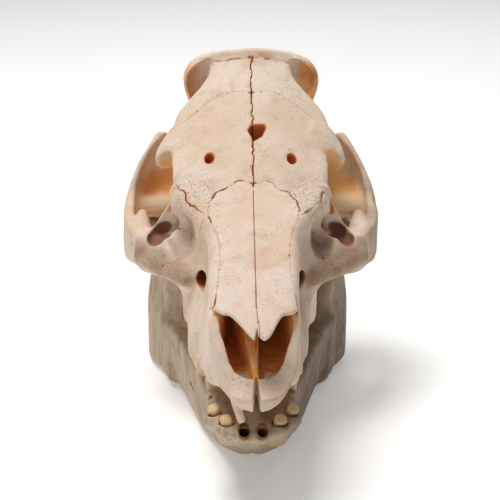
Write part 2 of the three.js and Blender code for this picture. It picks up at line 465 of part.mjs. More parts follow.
function surfaceOf(field, low, high, step) {
  // The closed surface field = 0 inside the box low..high, as { points, triangles }.
  const count = [0, 1, 2].map((i) => Math.ceil((high[i] - low[i]) / step) + 1);
  const stride = [1, count[0], count[0] * count[1]];
  const value = new Float64Array(count[0] * count[1] * count[2]);
  for (let k = 0, n = 0; k < count[2]; k++) {
    for (let j = 0; j < count[1]; j++) {
      for (let i = 0; i < count[0]; i++, n++) {
        value[n] = field(low[0] + i * step, low[1] + j * step, low[2] + k * step);
      }
    }
  }
  const corner = [0, 1, 2, 3, 4, 5, 6, 7].map((c) => {
    return (c & 1) * stride[0] + ((c >> 1) & 1) * stride[1] + (c >> 2) * stride[2];
  });
  const points = [];
  const triangles = [];
  const onEdge = new Map();
  const place = (n) => [n % count[0], Math.floor(n / stride[1]) % count[1], Math.floor(n / stride[2])];
  const crossing = (a, b) => {
    const key = Math.min(a, b) * 8 + corner.indexOf(Math.abs(a - b));
    if (!onEdge.has(key)) {
      const t = Math.min(0.97, Math.max(0.03, value[a] / (value[a] - value[b])));
      const [pa, pb] = [place(a), place(b)];
      onEdge.set(key, points.length);
      points.push([0, 1, 2].map((i) => low[i] + step * mix(pa[i], pb[i], t)));
    }
    return onEdge.get(key);
  };
  for (let k = 0; k + 1 < count[2]; k++) {
    for (let j = 0; j + 1 < count[1]; j++) {
      for (let i = 0; i + 1 < count[0]; i++) {
        const n = i + j * stride[1] + k * stride[2];
        const inside = corner.filter((c) => value[n + c] < 0).length;
        if (inside === 0 || inside === 8) continue;
        for (const tetrahedron of CELL_TETRAHEDRA) {
          const at = tetrahedron.map((c) => n + corner[c]);
          const mask = at.reduce((m, p, bit) => m | (value[p] < 0 ? 1 << bit : 0), 0);
          if (mask === 0 || mask === 15) continue;
          const flipped = !(mask in CORNER_ORDER);
          const [a, b, c, d] = CORNER_ORDER[flipped ? 15 - mask : mask].map((q) => at[q]);
          const alone = [1, 2, 4, 8].includes(flipped ? 15 - mask : mask);
          const ring = alone
            ? [crossing(a, b), crossing(a, c), crossing(a, d)]
            : [crossing(a, c), crossing(a, d), crossing(b, d), crossing(b, c)];
          if (flipped) ring.reverse();
          triangles.push([ring[0], ring[1], ring[2]]);
          if (!alone) triangles.push([ring[0], ring[2], ring[3]]);
        }
      }
    }
  }
  return { points, triangles };
}

class EdgeHeap {
  // The cheapest edge comes off first.
  constructor() {
    this.items = [];
  }

  push(item) {
    const heap = this.items;
    let i = heap.push(item) - 1;
    while (i > 0 && heap[(i - 1) >> 1].cost > item.cost) {
      heap[i] = heap[(i - 1) >> 1];
      i = (i - 1) >> 1;
    }
    heap[i] = item;
  }

  pop() {
    const heap = this.items;
    const first = heap[0];
    const item = heap.pop();
    if (heap.length === 0) return first;
    let i = 0;
    for (;;) {
      let child = 2 * i + 1;
      if (child >= heap.length) break;
      if (child + 1 < heap.length && heap[child + 1].cost < heap[child].cost) child++;
      if (heap[child].cost >= item.cost) break;
      heap[i] = heap[child];
      i = child;
    }
    heap[i] = item;
    return first;
  }
}

function planeOf(p, q, r) {
  const e = [q[0] - p[0], q[1] - p[1], q[2] - p[2]];
  const f = [r[0] - p[0], r[1] - p[1], r[2] - p[2]];
  const n = [e[1] * f[2] - e[2] * f[1], e[2] * f[0] - e[0] * f[2], e[0] * f[1] - e[1] * f[0]];
  const area = Math.hypot(...n);
  const unit = area > 1e-9 ? n.map((v) => v / area) : [0, 0, 0];
  return { unit, area, offset: -(unit[0] * p[0] + unit[1] * p[1] + unit[2] * p[2]) };
}

// The places of a symmetric 4 by 4 table of squared distances, row by row.
const PAIRS = [0, 1, 2, 3].flatMap((i) => [0, 1, 2, 3].slice(i).map((j) => [i, j]));

function coarsen({ points, triangles }, target) {
  // Collapses the edges that change the form least, keeping it closed, down to the target count.
  const faces = triangles.map((t) => t.slice());
  const around = points.map(() => new Set());
  const error = points.map(() => new Float64Array(10));
  const stamp = new Int32Array(points.length);
  faces.forEach((face, f) => {
    const { unit, area, offset } = planeOf(...face.map((v) => points[v]));
    const plane = [...unit, offset];
    for (const v of face) {
      around[v].add(f);
      PAIRS.forEach(([i, j], n) => (error[v][n] += plane[i] * plane[j] * area));
    }
  });
  const costAt = (q, p) => {
    const h = [p[0], p[1], p[2], 1];
    return PAIRS.reduce((sum, [i, j], n) => sum + q[n] * h[i] * h[j] * (i === j ? 1 : 2), 0);
  };
  const lowest = (q, a, b) => {
    // The point of least error, or the best of the ends and the middle where that point is badly placed.
    const m = new THREE.Matrix3().set(q[0], q[1], q[2], q[1], q[4], q[5], q[2], q[5], q[7]);
    const middle = a.map((v, i) => (v + b[i]) / 2);
    const span = Math.hypot(a[0] - b[0], a[1] - b[1], a[2] - b[2]);
    const size = (q[0] + q[4] + q[7]) / 3;
    if (Math.abs(m.determinant()) > 1e-3 * size ** 3) {
      const best = new THREE.Vector3(-q[3], -q[6], -q[8]).applyMatrix3(m.invert()).toArray();
      if (Math.hypot(best[0] - middle[0], best[1] - middle[1], best[2] - middle[2]) < span) return best;
    }
    return [a, b, middle].reduce((u, v) => (costAt(q, v) < costAt(q, u) ? v : u));
  };
  const heap = new EdgeHeap();
  const offer = (a, b) => {
    const q = error[a].map((v, i) => v + error[b][i]);
    const at = lowest(q, points[a], points[b]);
    const span = Math.hypot(...points[a].map((v, i) => v - points[b][i]));
    heap.push({ a, b, at, cost: costAt(q, at) + 1e-4 * span ** 3, stampA: stamp[a], stampB: stamp[b] });
  };
  const neighbours = (v) => new Set([...around[v]].flatMap((f) => faces[f]).filter((w) => w !== v));
  for (const face of faces) {
    face.forEach((v, i) => v < face[(i + 1) % 3] && offer(v, face[(i + 1) % 3]));
  }
  const folds = (v, other, at) => {
    for (const f of around[v]) {
      if (faces[f].includes(other)) continue;
      const before = planeOf(...faces[f].map((w) => points[w]));
      const after = planeOf(...faces[f].map((w) => (w === v ? at : points[w])));
      const turn = before.unit.reduce((sum, n, i) => sum + n * after.unit[i], 0);
      if (after.area < 0.02 || turn < 0.3) return true;
    }
    return false;
  };
  let left = faces.length;
  while (left > target && heap.items.length) {
    const edge = heap.pop();
    const { a, b, at } = edge;
    if (edge.stampA !== stamp[a] || edge.stampB !== stamp[b]) continue;
    const shared = neighbours(b);
    if ([...neighbours(a)].filter((v) => shared.has(v)).length !== 2) continue;
    if (folds(a, b, at) || folds(b, a, at)) continue;
    points[a] = at;
    error[a] = error[a].map((v, i) => v + error[b][i]);
    for (const f of [...around[b]]) {
      if (faces[f].includes(a)) {
        faces[f].forEach((v) => around[v].delete(f));
        faces[f] = null;
        left--;
      } else {
        faces[f] = faces[f].map((v) => (v === b ? a : v));
        around[a].add(f);
      }
    }
    around[b].clear();
    stamp[a]++;
    stamp[b] = -1;
    neighbours(a).forEach((v) => offer(a, v));
  }
  return { points, triangles: faces.filter((face) => face) };
}

const wasm = await Module();
wasm.setup();

function solidFrom(geometry) {
  const bare = geometry.clone();
  bare.deleteAttribute("normal");
  bare.deleteAttribute("uv");
  const merged = mergeVertices(bare, 1e-3);
  return new wasm.Manifold(new wasm.Mesh({
    numProp: 3,
    vertProperties: merged.attributes.position.array,
    triVerts: new Uint32Array(merged.index.array),
  }));
}

function solidOf({ points, triangles }) {
  const geometry = new THREE.BufferGeometry();
  geometry.setAttribute("position", new THREE.Float32BufferAttribute(points.flat(), 3));
  geometry.setIndex(triangles.flat());
  return solidFrom(geometry);
}

function geometryOf(solid) {
  const mesh = solid.getMesh();
  const geometry = new THREE.BufferGeometry();
  geometry.setAttribute("position", new THREE.BufferAttribute(new Float32Array(mesh.vertProperties), 3));
  geometry.setIndex(new THREE.BufferAttribute(new Uint32Array(mesh.triVerts), 1));
  geometry.computeVertexNormals();
  return geometry;
}

function grown(outline, by) {
  // The same outline, which runs anticlockwise, moved outwards by a distance all round.
  return outline.map((at, i) => {
    const before = outline[(i + outline.length - 1) % outline.length];
    const after = outline[(i + 1) % outline.length];
    const normal = (from, to) => new THREE.Vector2(to[1] - from[1], from[0] - to[0]).normalize();
    const [n, m] = [normal(before, at), normal(at, after)];
    const mitre = n.clone().add(m).multiplyScalar(by / (1 + n.dot(m)));
    return [at[0] + mitre.x, at[1] + mitre.y];
  });
}

function block(outline, from, to) {
  const shape = new THREE.Shape(outline.map(([u, v]) => new THREE.Vector2(u, v)));
  return new THREE.ExtrudeGeometry(shape, { depth: to - from, bevelEnabled: false }).translate(0, 0, from);
}

function fromAbove(outline, from, to) {
  return solidFrom(block(outline, from, to));
}

function fromSide(outline, from, to) {
  // An outline of [y, z] points reaches across the skull from x = from to x = to.
  const across = new THREE.Matrix4().set(0, 0, 1, 0, 1, 0, 0, 0, 0, 1, 0, 0, 0, 0, 0, 1);
  return solidFrom(block(outline, from, to).applyMatrix4(across));
}

function region(bone, side, gap) {
  // side is 1 on the animal's left and -1 on its right; a bone across the midline has side 0.
  const half = bone.plan ?? HALF_PLAN;
  const plan = side < 0 ? half.map(([x, y]) => [-x, y]).reverse() : half;
  const above = fromAbove(side === 0 ? WHOLE_PLAN : grown(plan, gap), -REACH, 2 * REACH);
  const nearest = bone.inner ? bone.inner - gap : -gap;
  const [from, to] = { 1: [nearest, REACH], "-1": [-REACH, -nearest], 0: [-REACH, REACH] }[side];
  return above.intersect(fromSide(grown(bone.side, gap), from, to));
}

function largest(solid) {
  return solid.decompose().reduce((a, b) => (b.volume() > a.volume() ? b : a));
}

function finish(name, solid, colour) {
  const material = new THREE.MeshStandardMaterial({ color: colour, roughness: 0.62, metalness: 0 });
  const mesh = new THREE.Mesh(geometryOf(solid), material);
  mesh.name = name;
  return mesh;
}

function partBones(whole) {
  const bones = [];
  let left = whole;
  for (const bone of BONES) {
    for (const side of bone.paired ? [1, -1] : [0]) {
      const suffix = { 1: "_left", "-1": "_right", 0: "" }[side];
      bones.push(finish(bone.name + suffix, largest(left.intersect(region(bone, side, 0))), bone.colour));
      left = left.subtract(region(bone, side, SUTURE_GAP));
    }
  }
  bones.push(finish("braincase", largest(left), BONE_COLOUR));
  return bones;
}

const craniumSolid = solidOf(coarsen(surfaceOf(cranium, ...CRANIUM_BOX, GRID_STEP), CRANIUM_TRIANGLES));
const jawSolid = solidOf(coarsen(surfaceOf(mandible, ...MANDIBLE_BOX, GRID_STEP), MANDIBLE_TRIANGLES));
const jawOnTable = jawSolid.intersect(fromAbove(TABLE_FLAT, TABLE_Z, 2 * REACH));

const skull = new THREE.Group();
skull.add(...partBones(craniumSolid), finish("mandible", largest(jawOnTable), JAW_COLOUR));
// The origin is under the middle of the skull, on the table.
const bounds = new THREE.Box3().setFromObject(skull);
const middle = bounds.getCenter(new THREE.Vector3());
skull.position.set(-middle.x, -middle.y, -bounds.min.z);

export default skull;
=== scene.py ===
import math
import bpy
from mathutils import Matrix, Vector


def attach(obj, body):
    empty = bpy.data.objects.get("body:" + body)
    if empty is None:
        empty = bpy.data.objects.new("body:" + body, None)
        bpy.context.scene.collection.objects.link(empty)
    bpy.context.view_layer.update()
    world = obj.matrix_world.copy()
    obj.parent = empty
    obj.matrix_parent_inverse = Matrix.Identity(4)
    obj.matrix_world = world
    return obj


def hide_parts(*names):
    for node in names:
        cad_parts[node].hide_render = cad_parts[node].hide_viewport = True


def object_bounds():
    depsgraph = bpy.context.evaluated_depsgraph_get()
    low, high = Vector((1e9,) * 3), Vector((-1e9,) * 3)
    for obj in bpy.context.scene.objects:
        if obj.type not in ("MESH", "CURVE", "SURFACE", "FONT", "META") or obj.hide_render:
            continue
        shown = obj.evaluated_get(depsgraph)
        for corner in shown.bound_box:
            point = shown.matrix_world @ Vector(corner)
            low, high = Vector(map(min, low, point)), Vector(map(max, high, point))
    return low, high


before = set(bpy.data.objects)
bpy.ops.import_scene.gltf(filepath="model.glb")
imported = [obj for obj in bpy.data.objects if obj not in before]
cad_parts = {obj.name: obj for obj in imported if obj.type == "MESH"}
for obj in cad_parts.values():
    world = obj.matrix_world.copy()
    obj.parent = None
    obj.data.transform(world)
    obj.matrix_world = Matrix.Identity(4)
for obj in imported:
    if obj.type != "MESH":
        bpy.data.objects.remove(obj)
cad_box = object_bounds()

from concurrent.futures import ThreadPoolExecutor

import bpy
import numpy as np
from mathutils import Matrix, Vector

# The skull is shaped in its own millimetres: x to the animal's left, y back from the tip of the snout,
# z up from the plane where the teeth meet. The frame says where that is on the table, in metres.
SNOUT_TIP_Y = 0.545
MIDLINE_X = 0.262
TABLE_Z = -51.5
ORIGIN = np.array([
    (cad_box[0][0] + cad_box[1][0]) / 2 + MIDLINE_X / 1000,
    cad_box[0][1] - SNOUT_TIP_Y / 1000,
    cad_box[0][2] - TABLE_Z / 1000,
])
CRANIUM_STEP = 0.8
JAW_STEP = 0.95

NASAL_TIP_BEND = 1.5
MANDIBLE_SHIFT = -1.5
CREST_Y = 237
CREST_HALF_WIDTH = 43
CREST_TOP = 145.3
CREST_LIP = 9
ARCH_HALF_WIDTH = 77.5
FACE_END = 136
CASE_START = 152
# How much the roof falls away to the sides, times the square of the distance from the middle.
FACE_CROWN = 0.0016
CASE_CROWN = 0.0045
ROOF_HOLE_DEPTH = 16
UPPER_TEETH_Y = (56, 166)
LOWER_TEETH_Y = (56, 168)
TOOTH_LENGTH = 14
JAW_CLEARANCE = 1.2
JAW_CLEAR_FROM_Z = -6
CRANIUM_BOX = ((-84, -4, -10), (84, 248, 152))
JAW_BOX = ((-72, -4, -57), (72, 226, 56))


def lengthwise(*stations):
    """A smooth curve of y through the stations, each (y, value)."""
    at = np.array([s[0] for s in stations], np.float32)
    value = np.array([s[1] for s in stations], np.float32)
    last = len(at) - 1
    before, after = np.maximum(np.arange(last + 1) - 1, 0), np.minimum(np.arange(last + 1) + 1, last)
    slope = (value[after] - value[before]) / (at[after] - at[before])
    fine = np.arange(at[0], at[-1] + 0.25, 0.25, dtype=np.float32)
    i = np.clip(np.searchsorted(at, fine, side="right") - 1, 0, last - 1)
    span = at[i + 1] - at[i]
    t = np.clip((fine - at[i]) / span, 0, 1)
    s = 1 - t
    start = value[i] * (1 + 2 * t) + slope[i] * span * t
    end = value[i + 1] * (1 + 2 * s) - slope[i + 1] * span * s
    table = (start * s * s + end * t * t).astype(np.float32)
    return lambda y: np.interp(y, fine, table).astype(np.float32)


ROOF_Z = lengthwise((0, 38), (20, 46.5), (33, 51.5), (60, 60.5), (90, 70.5), (115, 79), (133, 86.5),
                    (153, 97.8), (175, 109.5), (200, 123.8), (225, 137.8), (238, 145))
SNOUT_TOP_HALF = lengthwise((0, 12), (10, 19), (26, 22.5), (45, 23.4), (62, 24.2), (83, 25), (99, 26.5),
                            (112, 33), (122, 39), (134, 43.5), (146, 45.5))
SNOUT_MID_HALF = lengthwise((0, 10), (10, 19), (26, 23.5), (45, 24), (62, 24.5), (83, 25), (95, 27.3),
                            (104, 33), (112, 40), (122, 45), (146, 46))
SNOUT_LOW_HALF = lengthwise((0, 8), (4, 12.5), (10, 17.5), (20, 22), (35, 25.2), (50, 26.5), (60, 27.5),
                            (66, 30), (72, 32.5), (85, 33.6), (100, 34), (125, 36.5), (150, 38), (168, 34))
PALATE_Z = lengthwise((0, 4), (10, 4.5), (22, 9), (45, 7), (60, 4), (150, 4), (168, 6))
ROOF_HALF = lengthwise((140, 45.5), (160, 47.5), (172, 48.5), (186, 49.5), (193, 48), (200, 44.5),
                       (206, 39.5), (213, 32.5), (221, 27.5), (229, 25.8), (240, 26))
CASE_HALF = lengthwise((135, 26), (150, 23), (162, 24), (175, 29), (190, 33), (205, 35), (220, 34),
                       (236, 32))
BASE_HALF = lengthwise((135, 24), (165, 15), (185, 13), (205, 16), (228, 19), (236, 17))
BASE_Z = lengthwise((140, 12), (165, 20), (180, 25), (200, 30), (220, 33), (236, 38))
SIDEWAYS = lengthwise((0, -0.4), (20, -1.2), (45, -2.2), (65, -3), (100, -3), (125, -1.8), (145, -1.3),
                      (170, -1.3), (190, -0.6), (237, 0.3))
ARCH_OUTER = lengthwise((118, 38), (128, 49), (140, 61), (150, 69), (162, 75), (175, ARCH_HALF_WIDTH),
                        (188, 77.3), (198, 76), (206, 74), (214, 71))
JAW_OUTER = lengthwise((0, 9), (5, 14), (12, 19), (25, 22.5), (43, 24), (55, 24.5), (65, 26), (80, 29),
                       (100, 34), (125, 40), (152, 48), (175, 56.5), (200, 62.3), (218, 62))
JAW_OUTER_LOW = lengthwise((0, 6), (20, 11), (40, 14), (60, 15.5), (72, 19.5), (80, 22.5), (99, 29),
                           (119, 34.5), (148, 42), (174, 51), (190, 58), (200, 61), (218, 61.5))
JAW_INNER = lengthwise((60, -8), (72, 2), (85, 10), (100, 15), (125, 22), (152, 31), (175, 42), (200, 51),
                       (218, 54))
JAW_LOWER_Z = lengthwise((0, -13), (8, -17), (20, -25.5), (40, -38), (60, -48), (74, -52.2), (92, -52.4),
                         (120, -50.5), (150, -49.5), (180, -51), (202, -52.6), (220, -51))
JAW_UPPER_Z = lengthwise((0, -8.5), (9, -8), (18, -6), (30, -4), (46, -4), (62, -8.5), (100, -9), (150, -8),
                         (170, -8))
TOOTH_ROW_HALF = lengthwise((52, 23), (70, 24), (100, 24.5), (130, 26), (165, 28))
LOWER_ROW_HALF = lengthwise((52, 19.5), (70, 20), (100, 22), (130, 25), (165, 30))

# Outlines in side view as (y, z), and in front or rear view as (x, z) for one half.
ARCH_SIDE = ((118, 44), (130, 35), (148, 31), (164, 30), (184, 37), (198, 42), (212, 44), (214, 68),
             (213, 88), (209, 97), (204, 92), (198, 77), (191, 66), (184, 60), (174, 56), (162, 54),
             (146, 52), (130, 56))
RAMUS_SIDE = ((158, -46), (160, -12), (166, 6), (175, 28), (182, 46), (187, 49), (191, 45), (196, 39.5),
              (204, 40), (211, 38), (214, 27), (213, 8), (216, -18), (217.5, -38), (213, -48), (200, -51))
CREST_REAR = ((0, 30), (17, 34), (30, 40), (39, 52), (40, 70), (35, 92), (35, 104), (39, 114),
              (CREST_HALF_WIDTH, 125), (40.5, 134.5), (32, 141.5), (16, CREST_TOP - 0.8), (0, CREST_TOP))
POSTORBITAL_FRONT = ((38, 114), (48.5, 110), (53, 103.5), (55.6, 97), (57.2, 91), (56.6, 86.4), (53, 83.8),
                     (46.5, 85), (38, 82))
RIM_FRONT = ((34, 84), (45.5, 84), (46.6, 79.5), (47.6, 75), (49, 71), (51, 66.4), (53.6, 61.6),
             (56.3, 56.9), (59.6, 53.4), (64, 49.5), (67, 44), (60, 38), (44, 40), (36, 52))
SQUAMA_REAR = ((26, 40), (66, 46), (64, 84), (57, 96), (44, 92), (26, 98))
# The nasal opening and the free end of the nasal bones, seen from above as (x, y) for one half.
NOSE_PLAN = ((-6, 14.5), (3, 14.6), (7, 15.2), (10.5, 16.6), (13.3, 19), (14.8, 22), (16.4, 25),
             (18.4, 28.5), (19.2, 32.6), (18.7, 38), (15, 70), (9, 105), (-6, 105))
TIP_PLAN = ((-6, 60), (-6, 12), (0, 12), (1.2, 10.4), (2.6, 10), (4.2, 11.3), (6.4, 14.6), (9.4, 20.5),
            (12.2, 25.2), (14, 27.4), (17, 27.8), (20, 29.5), (23, 34), (30, 60))
# The broken hole in the forehead, seen from above.
ROOF_HOLE = ((-2.4, 173.5), (-0.2, 177.6), (7.4, 178), (8, 175.4), (5.6, 168.6), (0.8, 165), (-0.8, 169))

# Round forms as (centre, half sizes), for one half.
EYE_SOCKET = ((53, 161, 69), (21, 16.5, 18.5))
CHEEK_HOLLOW = ((41.5, 116, 61), (8.5, 22, 12))
CHEEK_SHADE = ((41.5, 117, 60), (9.5, 19, 12.5))
CHEEK_PIT = ((53, 141, 54.2), (7.2, 11, 5.1))
CHEEK_PIT_SLANT = 0.4
TEAR_KNOB = ((43.6, 140.5, 77.5), (3.4, 3, 4))
BROW_FORAMEN = ((24, 155, 94), (2.6, 4, 8))
OCCIPITAL_CONDYLE = ((14.5, 234, 41), (9, 10, 11))
# Tapered bars as (one end, other end, radius at the one, radius at the other), for one half.
FACIAL_CREST = ((36, 106, 40), (61, 141, 40), 5, 8)
WORN_CREST = ((37, 104, 40), (62, 140, 43), 6, 8)
CHEEK_BODY = ((36, 130, 46), (58, 150, 44), 12.5, 6.8)
TEAR_BONE_EDGE = ((37, 134, 76), (43.5, 142, 70), 8, 4)
TEAR_HOLE = ((46.8, 142.5, 73), (48.4, 143.5, 67), 2.5, 1.9)
CHEEKBONE_HORN = ((65, 158, 45), (65.7, 173, 55.5), 8, 3.6)
BROW_EDGE_PIT = ((43.5, 186, 104), (43.5, 187, 102), 1.8, 1.8)
SOCKET_BAR = ((30, 214, 52), (66, 203, 53), 10, 6.5)
SOCKET_LIP = ((40, 216, 42.5), (62, 213.5, 42), 4, 3.5)
JUGULAR_PROCESS = ((31, 222, 52), (28, 210, -2), 8, 2.6)
EAR_BULLA = ((18, 200, 32), (17, 190, 15), 8, 4.5)
PALATE_WING = ((13, 176, 26), (14, 170, 3), 5, 2.4)
THROAT_OPENING = ((0, 172, 14), (0, 138, 16), 9, 7)
SPINE_OPENING = ((0, 250, 54), (0, 222, 52), 9.5, 8)
JAW_FRONT_EDGE = ((36, 166, -6), (45, 172, 9), 8, 5.5)
JAW_CONDYLE = ((44, 207, 37), (62, 204, 38), 6, 5.8)
STUB_BASES = (((12.5, 20, -16), (14.2, 12.5, -9), 6, 4.6), ((17.5, 32, -16), (20.8, 22, -8), 6, 4.6))
# The opening for a nerve, on the jaw's right side only.
JAW_SLIT = ((-36.8, 108.5, -26), (-34.4, 100, -27.4), 1.3, 1.1)
# The front teeth that are left, as (tip, end of root, tip radius, root radius), and the empty sockets.
LOWER_STUBS = (((14.2, 12.8, -3.2), (11.5, 22, -17), 3.3, 2.6),
               ((20.8, 22, -1.4), (17.5, 31, -15), 3.2, 2.5))
EMPTY_SOCKETS = (((4.7, 6, -9), (4.7, 13.5, -6.5), 2.8, 2.6), ((4.7, 9, -8), (4.7, 21, -20), 3, 2.2),
                 ((23.2, 31, -1), (21, 37, -9), 2.4, 1.8), ((23.8, 41, -1), (22, 46, -10), 2.5, 1.8))
UPPER_PEG = ((7.4, 3.2, -0.6), (11.2, 10, 9), 1.9, 2.4)
UPPER_PEG_BOTTOM = -5


def mix(a, b, t):
    return a + (b - a) * t


def ramp(start, end, value):
    """From 0 at start to 1 at end, smoothly. The end may be lower than the start."""
    t = np.clip((value - start) / (end - start), 0, 1)
    return t * t * (3 - 2 * t)


def window(start, rise, fall, end, value):
    """From 0 at start to 1 between rise and fall, and back to 0 at end."""
    return ramp(start, rise, value) * ramp(end, fall, value)


# Distances are negative inside. The last number rounds the corner between the two forms.
def join(a, b, rounding):
    h = np.maximum(rounding - np.abs(a - b), 0)
    return np.minimum(a, b) - h * h / (4 * rounding)


def overlap(a, b, rounding):
    return -join(-a, -b, rounding)


def carve(a, b, rounding):
    return overlap(a, -b, rounding)


def ellipsoid(x, y, z, centre, radii):
    u, v, w = (x - centre[0]) / radii[0], (y - centre[1]) / radii[1], (z - centre[2]) / radii[2]
    k = np.sqrt(u * u + v * v + w * w)
    g = np.sqrt((u / radii[0]) ** 2 + (v / radii[1]) ** 2 + (w / radii[2]) ** 2)
    return k * (k - 1) / np.maximum(g, 1e-6)


def capsule(x, y, z, a, b, start_radius, end_radius):
    d = [b[i] - a[i] for i in range(3)]
    p = (x - a[0], y - a[1], z - a[2])
    length = d[0] ** 2 + d[1] ** 2 + d[2] ** 2
    t = np.clip((p[0] * d[0] + p[1] * d[1] + p[2] * d[2]) / length, 0, 1)
    away = np.sqrt((p[0] - d[0] * t) ** 2 + (p[1] - d[1] * t) ** 2 + (p[2] - d[2] * t) ** 2)
    return away - mix(start_radius, end_radius, t)


def flat_outline(points, u, v):
    """Signed distance in the plane from (u, v) to a closed outline."""
    nearest = None
    inside = np.zeros(np.broadcast(u, v).shape, bool)
    for i, (bu, bv) in enumerate(points):
        au, av = points[i - 1]
        du, dv = bu - au, bv - av
        t = np.clip(((u - au) * du + (v - av) * dv) / (du * du + dv * dv), 0, 1)
        away = (u - au - du * t) ** 2 + (v - av - dv * t) ** 2
        nearest = away if nearest is None else np.minimum(nearest, away)
        if dv:
            inside ^= ((bv > v) != (av > v)) & (u < (au - bu) * (v - bv) / (av - bv) + bu)
    return np.where(inside, -1, 1) * np.sqrt(nearest)


def softened(points, times):
    """The closed outline with its corners cut off, that many times."""
    for _ in range(times):
        cut = []
        for i, (bu, bv) in enumerate(points):
            au, av = points[i - 1]
            cut += [(mix(au, bu, share), mix(av, bv, share)) for share in (0.25, 0.75)]
        points = cut
    return points


CREST_OUTLINE = softened([*CREST_REAR, *((-x, z) for x, z in CREST_REAR[-2:0:-1])], 2)


def lattice(*cells):
    """A repeatable random number from 0 to 1 for whole-number cell coordinates."""
    mixed = np.zeros(cells[0].shape, np.uint32)
    for cell, prime in zip(cells, (374761393, 668265263, 2147483647)):
        mixed = mixed + cell.astype(np.int64).astype(np.uint32) * np.uint32(prime)
    mixed = (mixed ^ (mixed >> np.uint32(13))) * np.uint32(1274126177)
    return ((mixed ^ (mixed >> np.uint32(16))) & np.uint32(65535)).astype(np.float32) / 65535


def unevenness(size, *at):
    """Smooth random waves between -1 and 1, of about the given size in millimetres."""
    cells = [np.floor(a / size) for a in at]
    parts = [a / size - c for a, c in zip(at, cells)]
    eased = [p * p * (3 - 2 * p) for p in parts]
    total = 0
    for corner in range(2 ** len(at)):
        steps = [(corner >> axis) & 1 for axis in range(len(at))]
        weight = 1
        for step, ease in zip(steps, eased):
            weight = weight * (ease if step else 1 - ease)
        total = total + weight * lattice(*[c + step for c, step in zip(cells, steps)])
    return 2 * total - 1


# The cranium
def evened(x, y, z):
    """Distance from the middle, evened out, because the face leans a little to its right."""
    away = np.abs(x)
    low_on_face = mix(0.1, 1, ramp(62, 26, z))
    share = mix(low_on_face, 1, ramp(115, 140, y)) * ramp(8, 26, away) * mix(1, 0.3, ramp(50, 72, away))
    return np.abs(x - SIDEWAYS(y) * share)


def face_half(y, z):
    mid = SNOUT_MID_HALF(y)
    lower = mix(SNOUT_LOW_HALF(y), mid, ramp(16, 40, z))
    upper = mix(mid, SNOUT_TOP_HALF(y), ramp(44, ROOF_Z(y) - 4, z))
    return np.where(z < 44, lower, upper)


def case_half(y, z):
    edge = ROOF_Z(y) - 9
    wall = mix(BASE_HALF(y), CASE_HALF(y), ramp(34, 66, z))
    overhang = np.maximum(ROOF_HALF(y) - CASE_HALF(y), 0)
    narrow = np.minimum(ROOF_HALF(y) - CASE_HALF(y), 0)
    return wall + overhang * ramp(edge - 17, edge, z) + narrow * ramp(edge - 34, edge + 4, z)


def head_block(ax, y, z):
    back = ramp(FACE_END, CASE_START, y)
    roof = ROOF_Z(y) - mix(FACE_CROWN, CASE_CROWN, ramp(100, 170, y)) * ax * ax
    half = mix(face_half(y, z), case_half(y, z), back)
    d = overlap(ax - half, z - roof, mix(7, 5, back))
    rise = 0.018 * ramp(28, 10, y) * ax * ax
    d = overlap(d, mix(PALATE_Z(y) + rise, BASE_Z(y), back) - z, mix(5, 11, ramp(26, 10, y)))
    d = overlap(d, -y, 8)
    d = overlap(d, y - CREST_Y - 1, 4)
    upper_jaw = np.maximum(np.maximum(PALATE_Z(y) - z, y - 168), 130 - y)
    return join(d, overlap(overlap(ax - SNOUT_LOW_HALF(y), z - 30, 10), upper_jaw, 6), 8)


def nuchal_plate(ax, y, z):
    outline = np.full(y.shape, 40, np.float32)
    near = y > 195
    outline[near] = flat_outline(CREST_OUTLINE, ax[near], z[near])
    middle = CREST_Y - 3 - 0.055 * (CREST_TOP - z) + 0.0018 * ax * ax
    half = mix(7, 2.4, ramp(95, 134, z))
    plate = overlap(np.abs(y - middle) - half, outline, 3)
    lip = CREST_LIP * ramp(20, 31, ax) * window(92, 108, 134, 146, z)
    rim = overlap(np.abs(outline + 1.2) - 1.1, np.maximum(middle - half - lip - y, y - middle), 1)
    return join(plate, rim, 2)


def arch_outside(y, z):
    """How far from the middle the outer face of the cheek's arch is. It leans in towards its top."""
    return ARCH_OUTER(y) - 0.0085 * np.maximum(z - 55, 0) ** 2


def zygomatic_arch(ax, y, z):
    outer = arch_outside(y, z)
    flare = (ARCH_OUTER(y + 1) - ARCH_OUTER(y - 1)) / 2
    thick = mix(mix(9, 6.5, ramp(150, 195, y)), 4, ramp(50, 78, z))
    across = (np.abs(ax - outer + thick / 2) - thick / 2) / np.sqrt(1 + flare * flare)
    return overlap(across, flat_outline(ARCH_SIDE, y, z), 2.5)


def cheek_root(ax, y, z):
    return join(capsule(ax, y, z, *FACIAL_CREST), capsule(ax, y, z, *CHEEK_BODY), 6)


def orbit_rim(ax, y, z):
    middle = 143.5 + 0.386 * (75 - z)
    front = flat_outline(RIM_FRONT, ax, z)
    half = 1.2 + 0.35 * np.clip(-front, 0, 8)
    wall = overlap(np.abs(y - middle) / 1.07 - half, front, 1.5)
    tear = join(capsule(ax, y, z, *TEAR_BONE_EDGE), ellipsoid(ax, y, z, *TEAR_KNOB), 2)
    return join(join(tear, wall, 2), capsule(ax, y, z, *CHEEKBONE_HORN), 6)


def slanted(ax, z):
    """Height measured along the slanted pit below the eye socket."""
    return z + CHEEK_PIT_SLANT * (ax - CHEEK_PIT[0][0])


def cheek_pit(ax, y, z):
    pit = ellipsoid(ax, y, slanted(ax, z), *CHEEK_PIT)
    return np.minimum(pit, capsule(ax, y, z, *TEAR_HOLE))


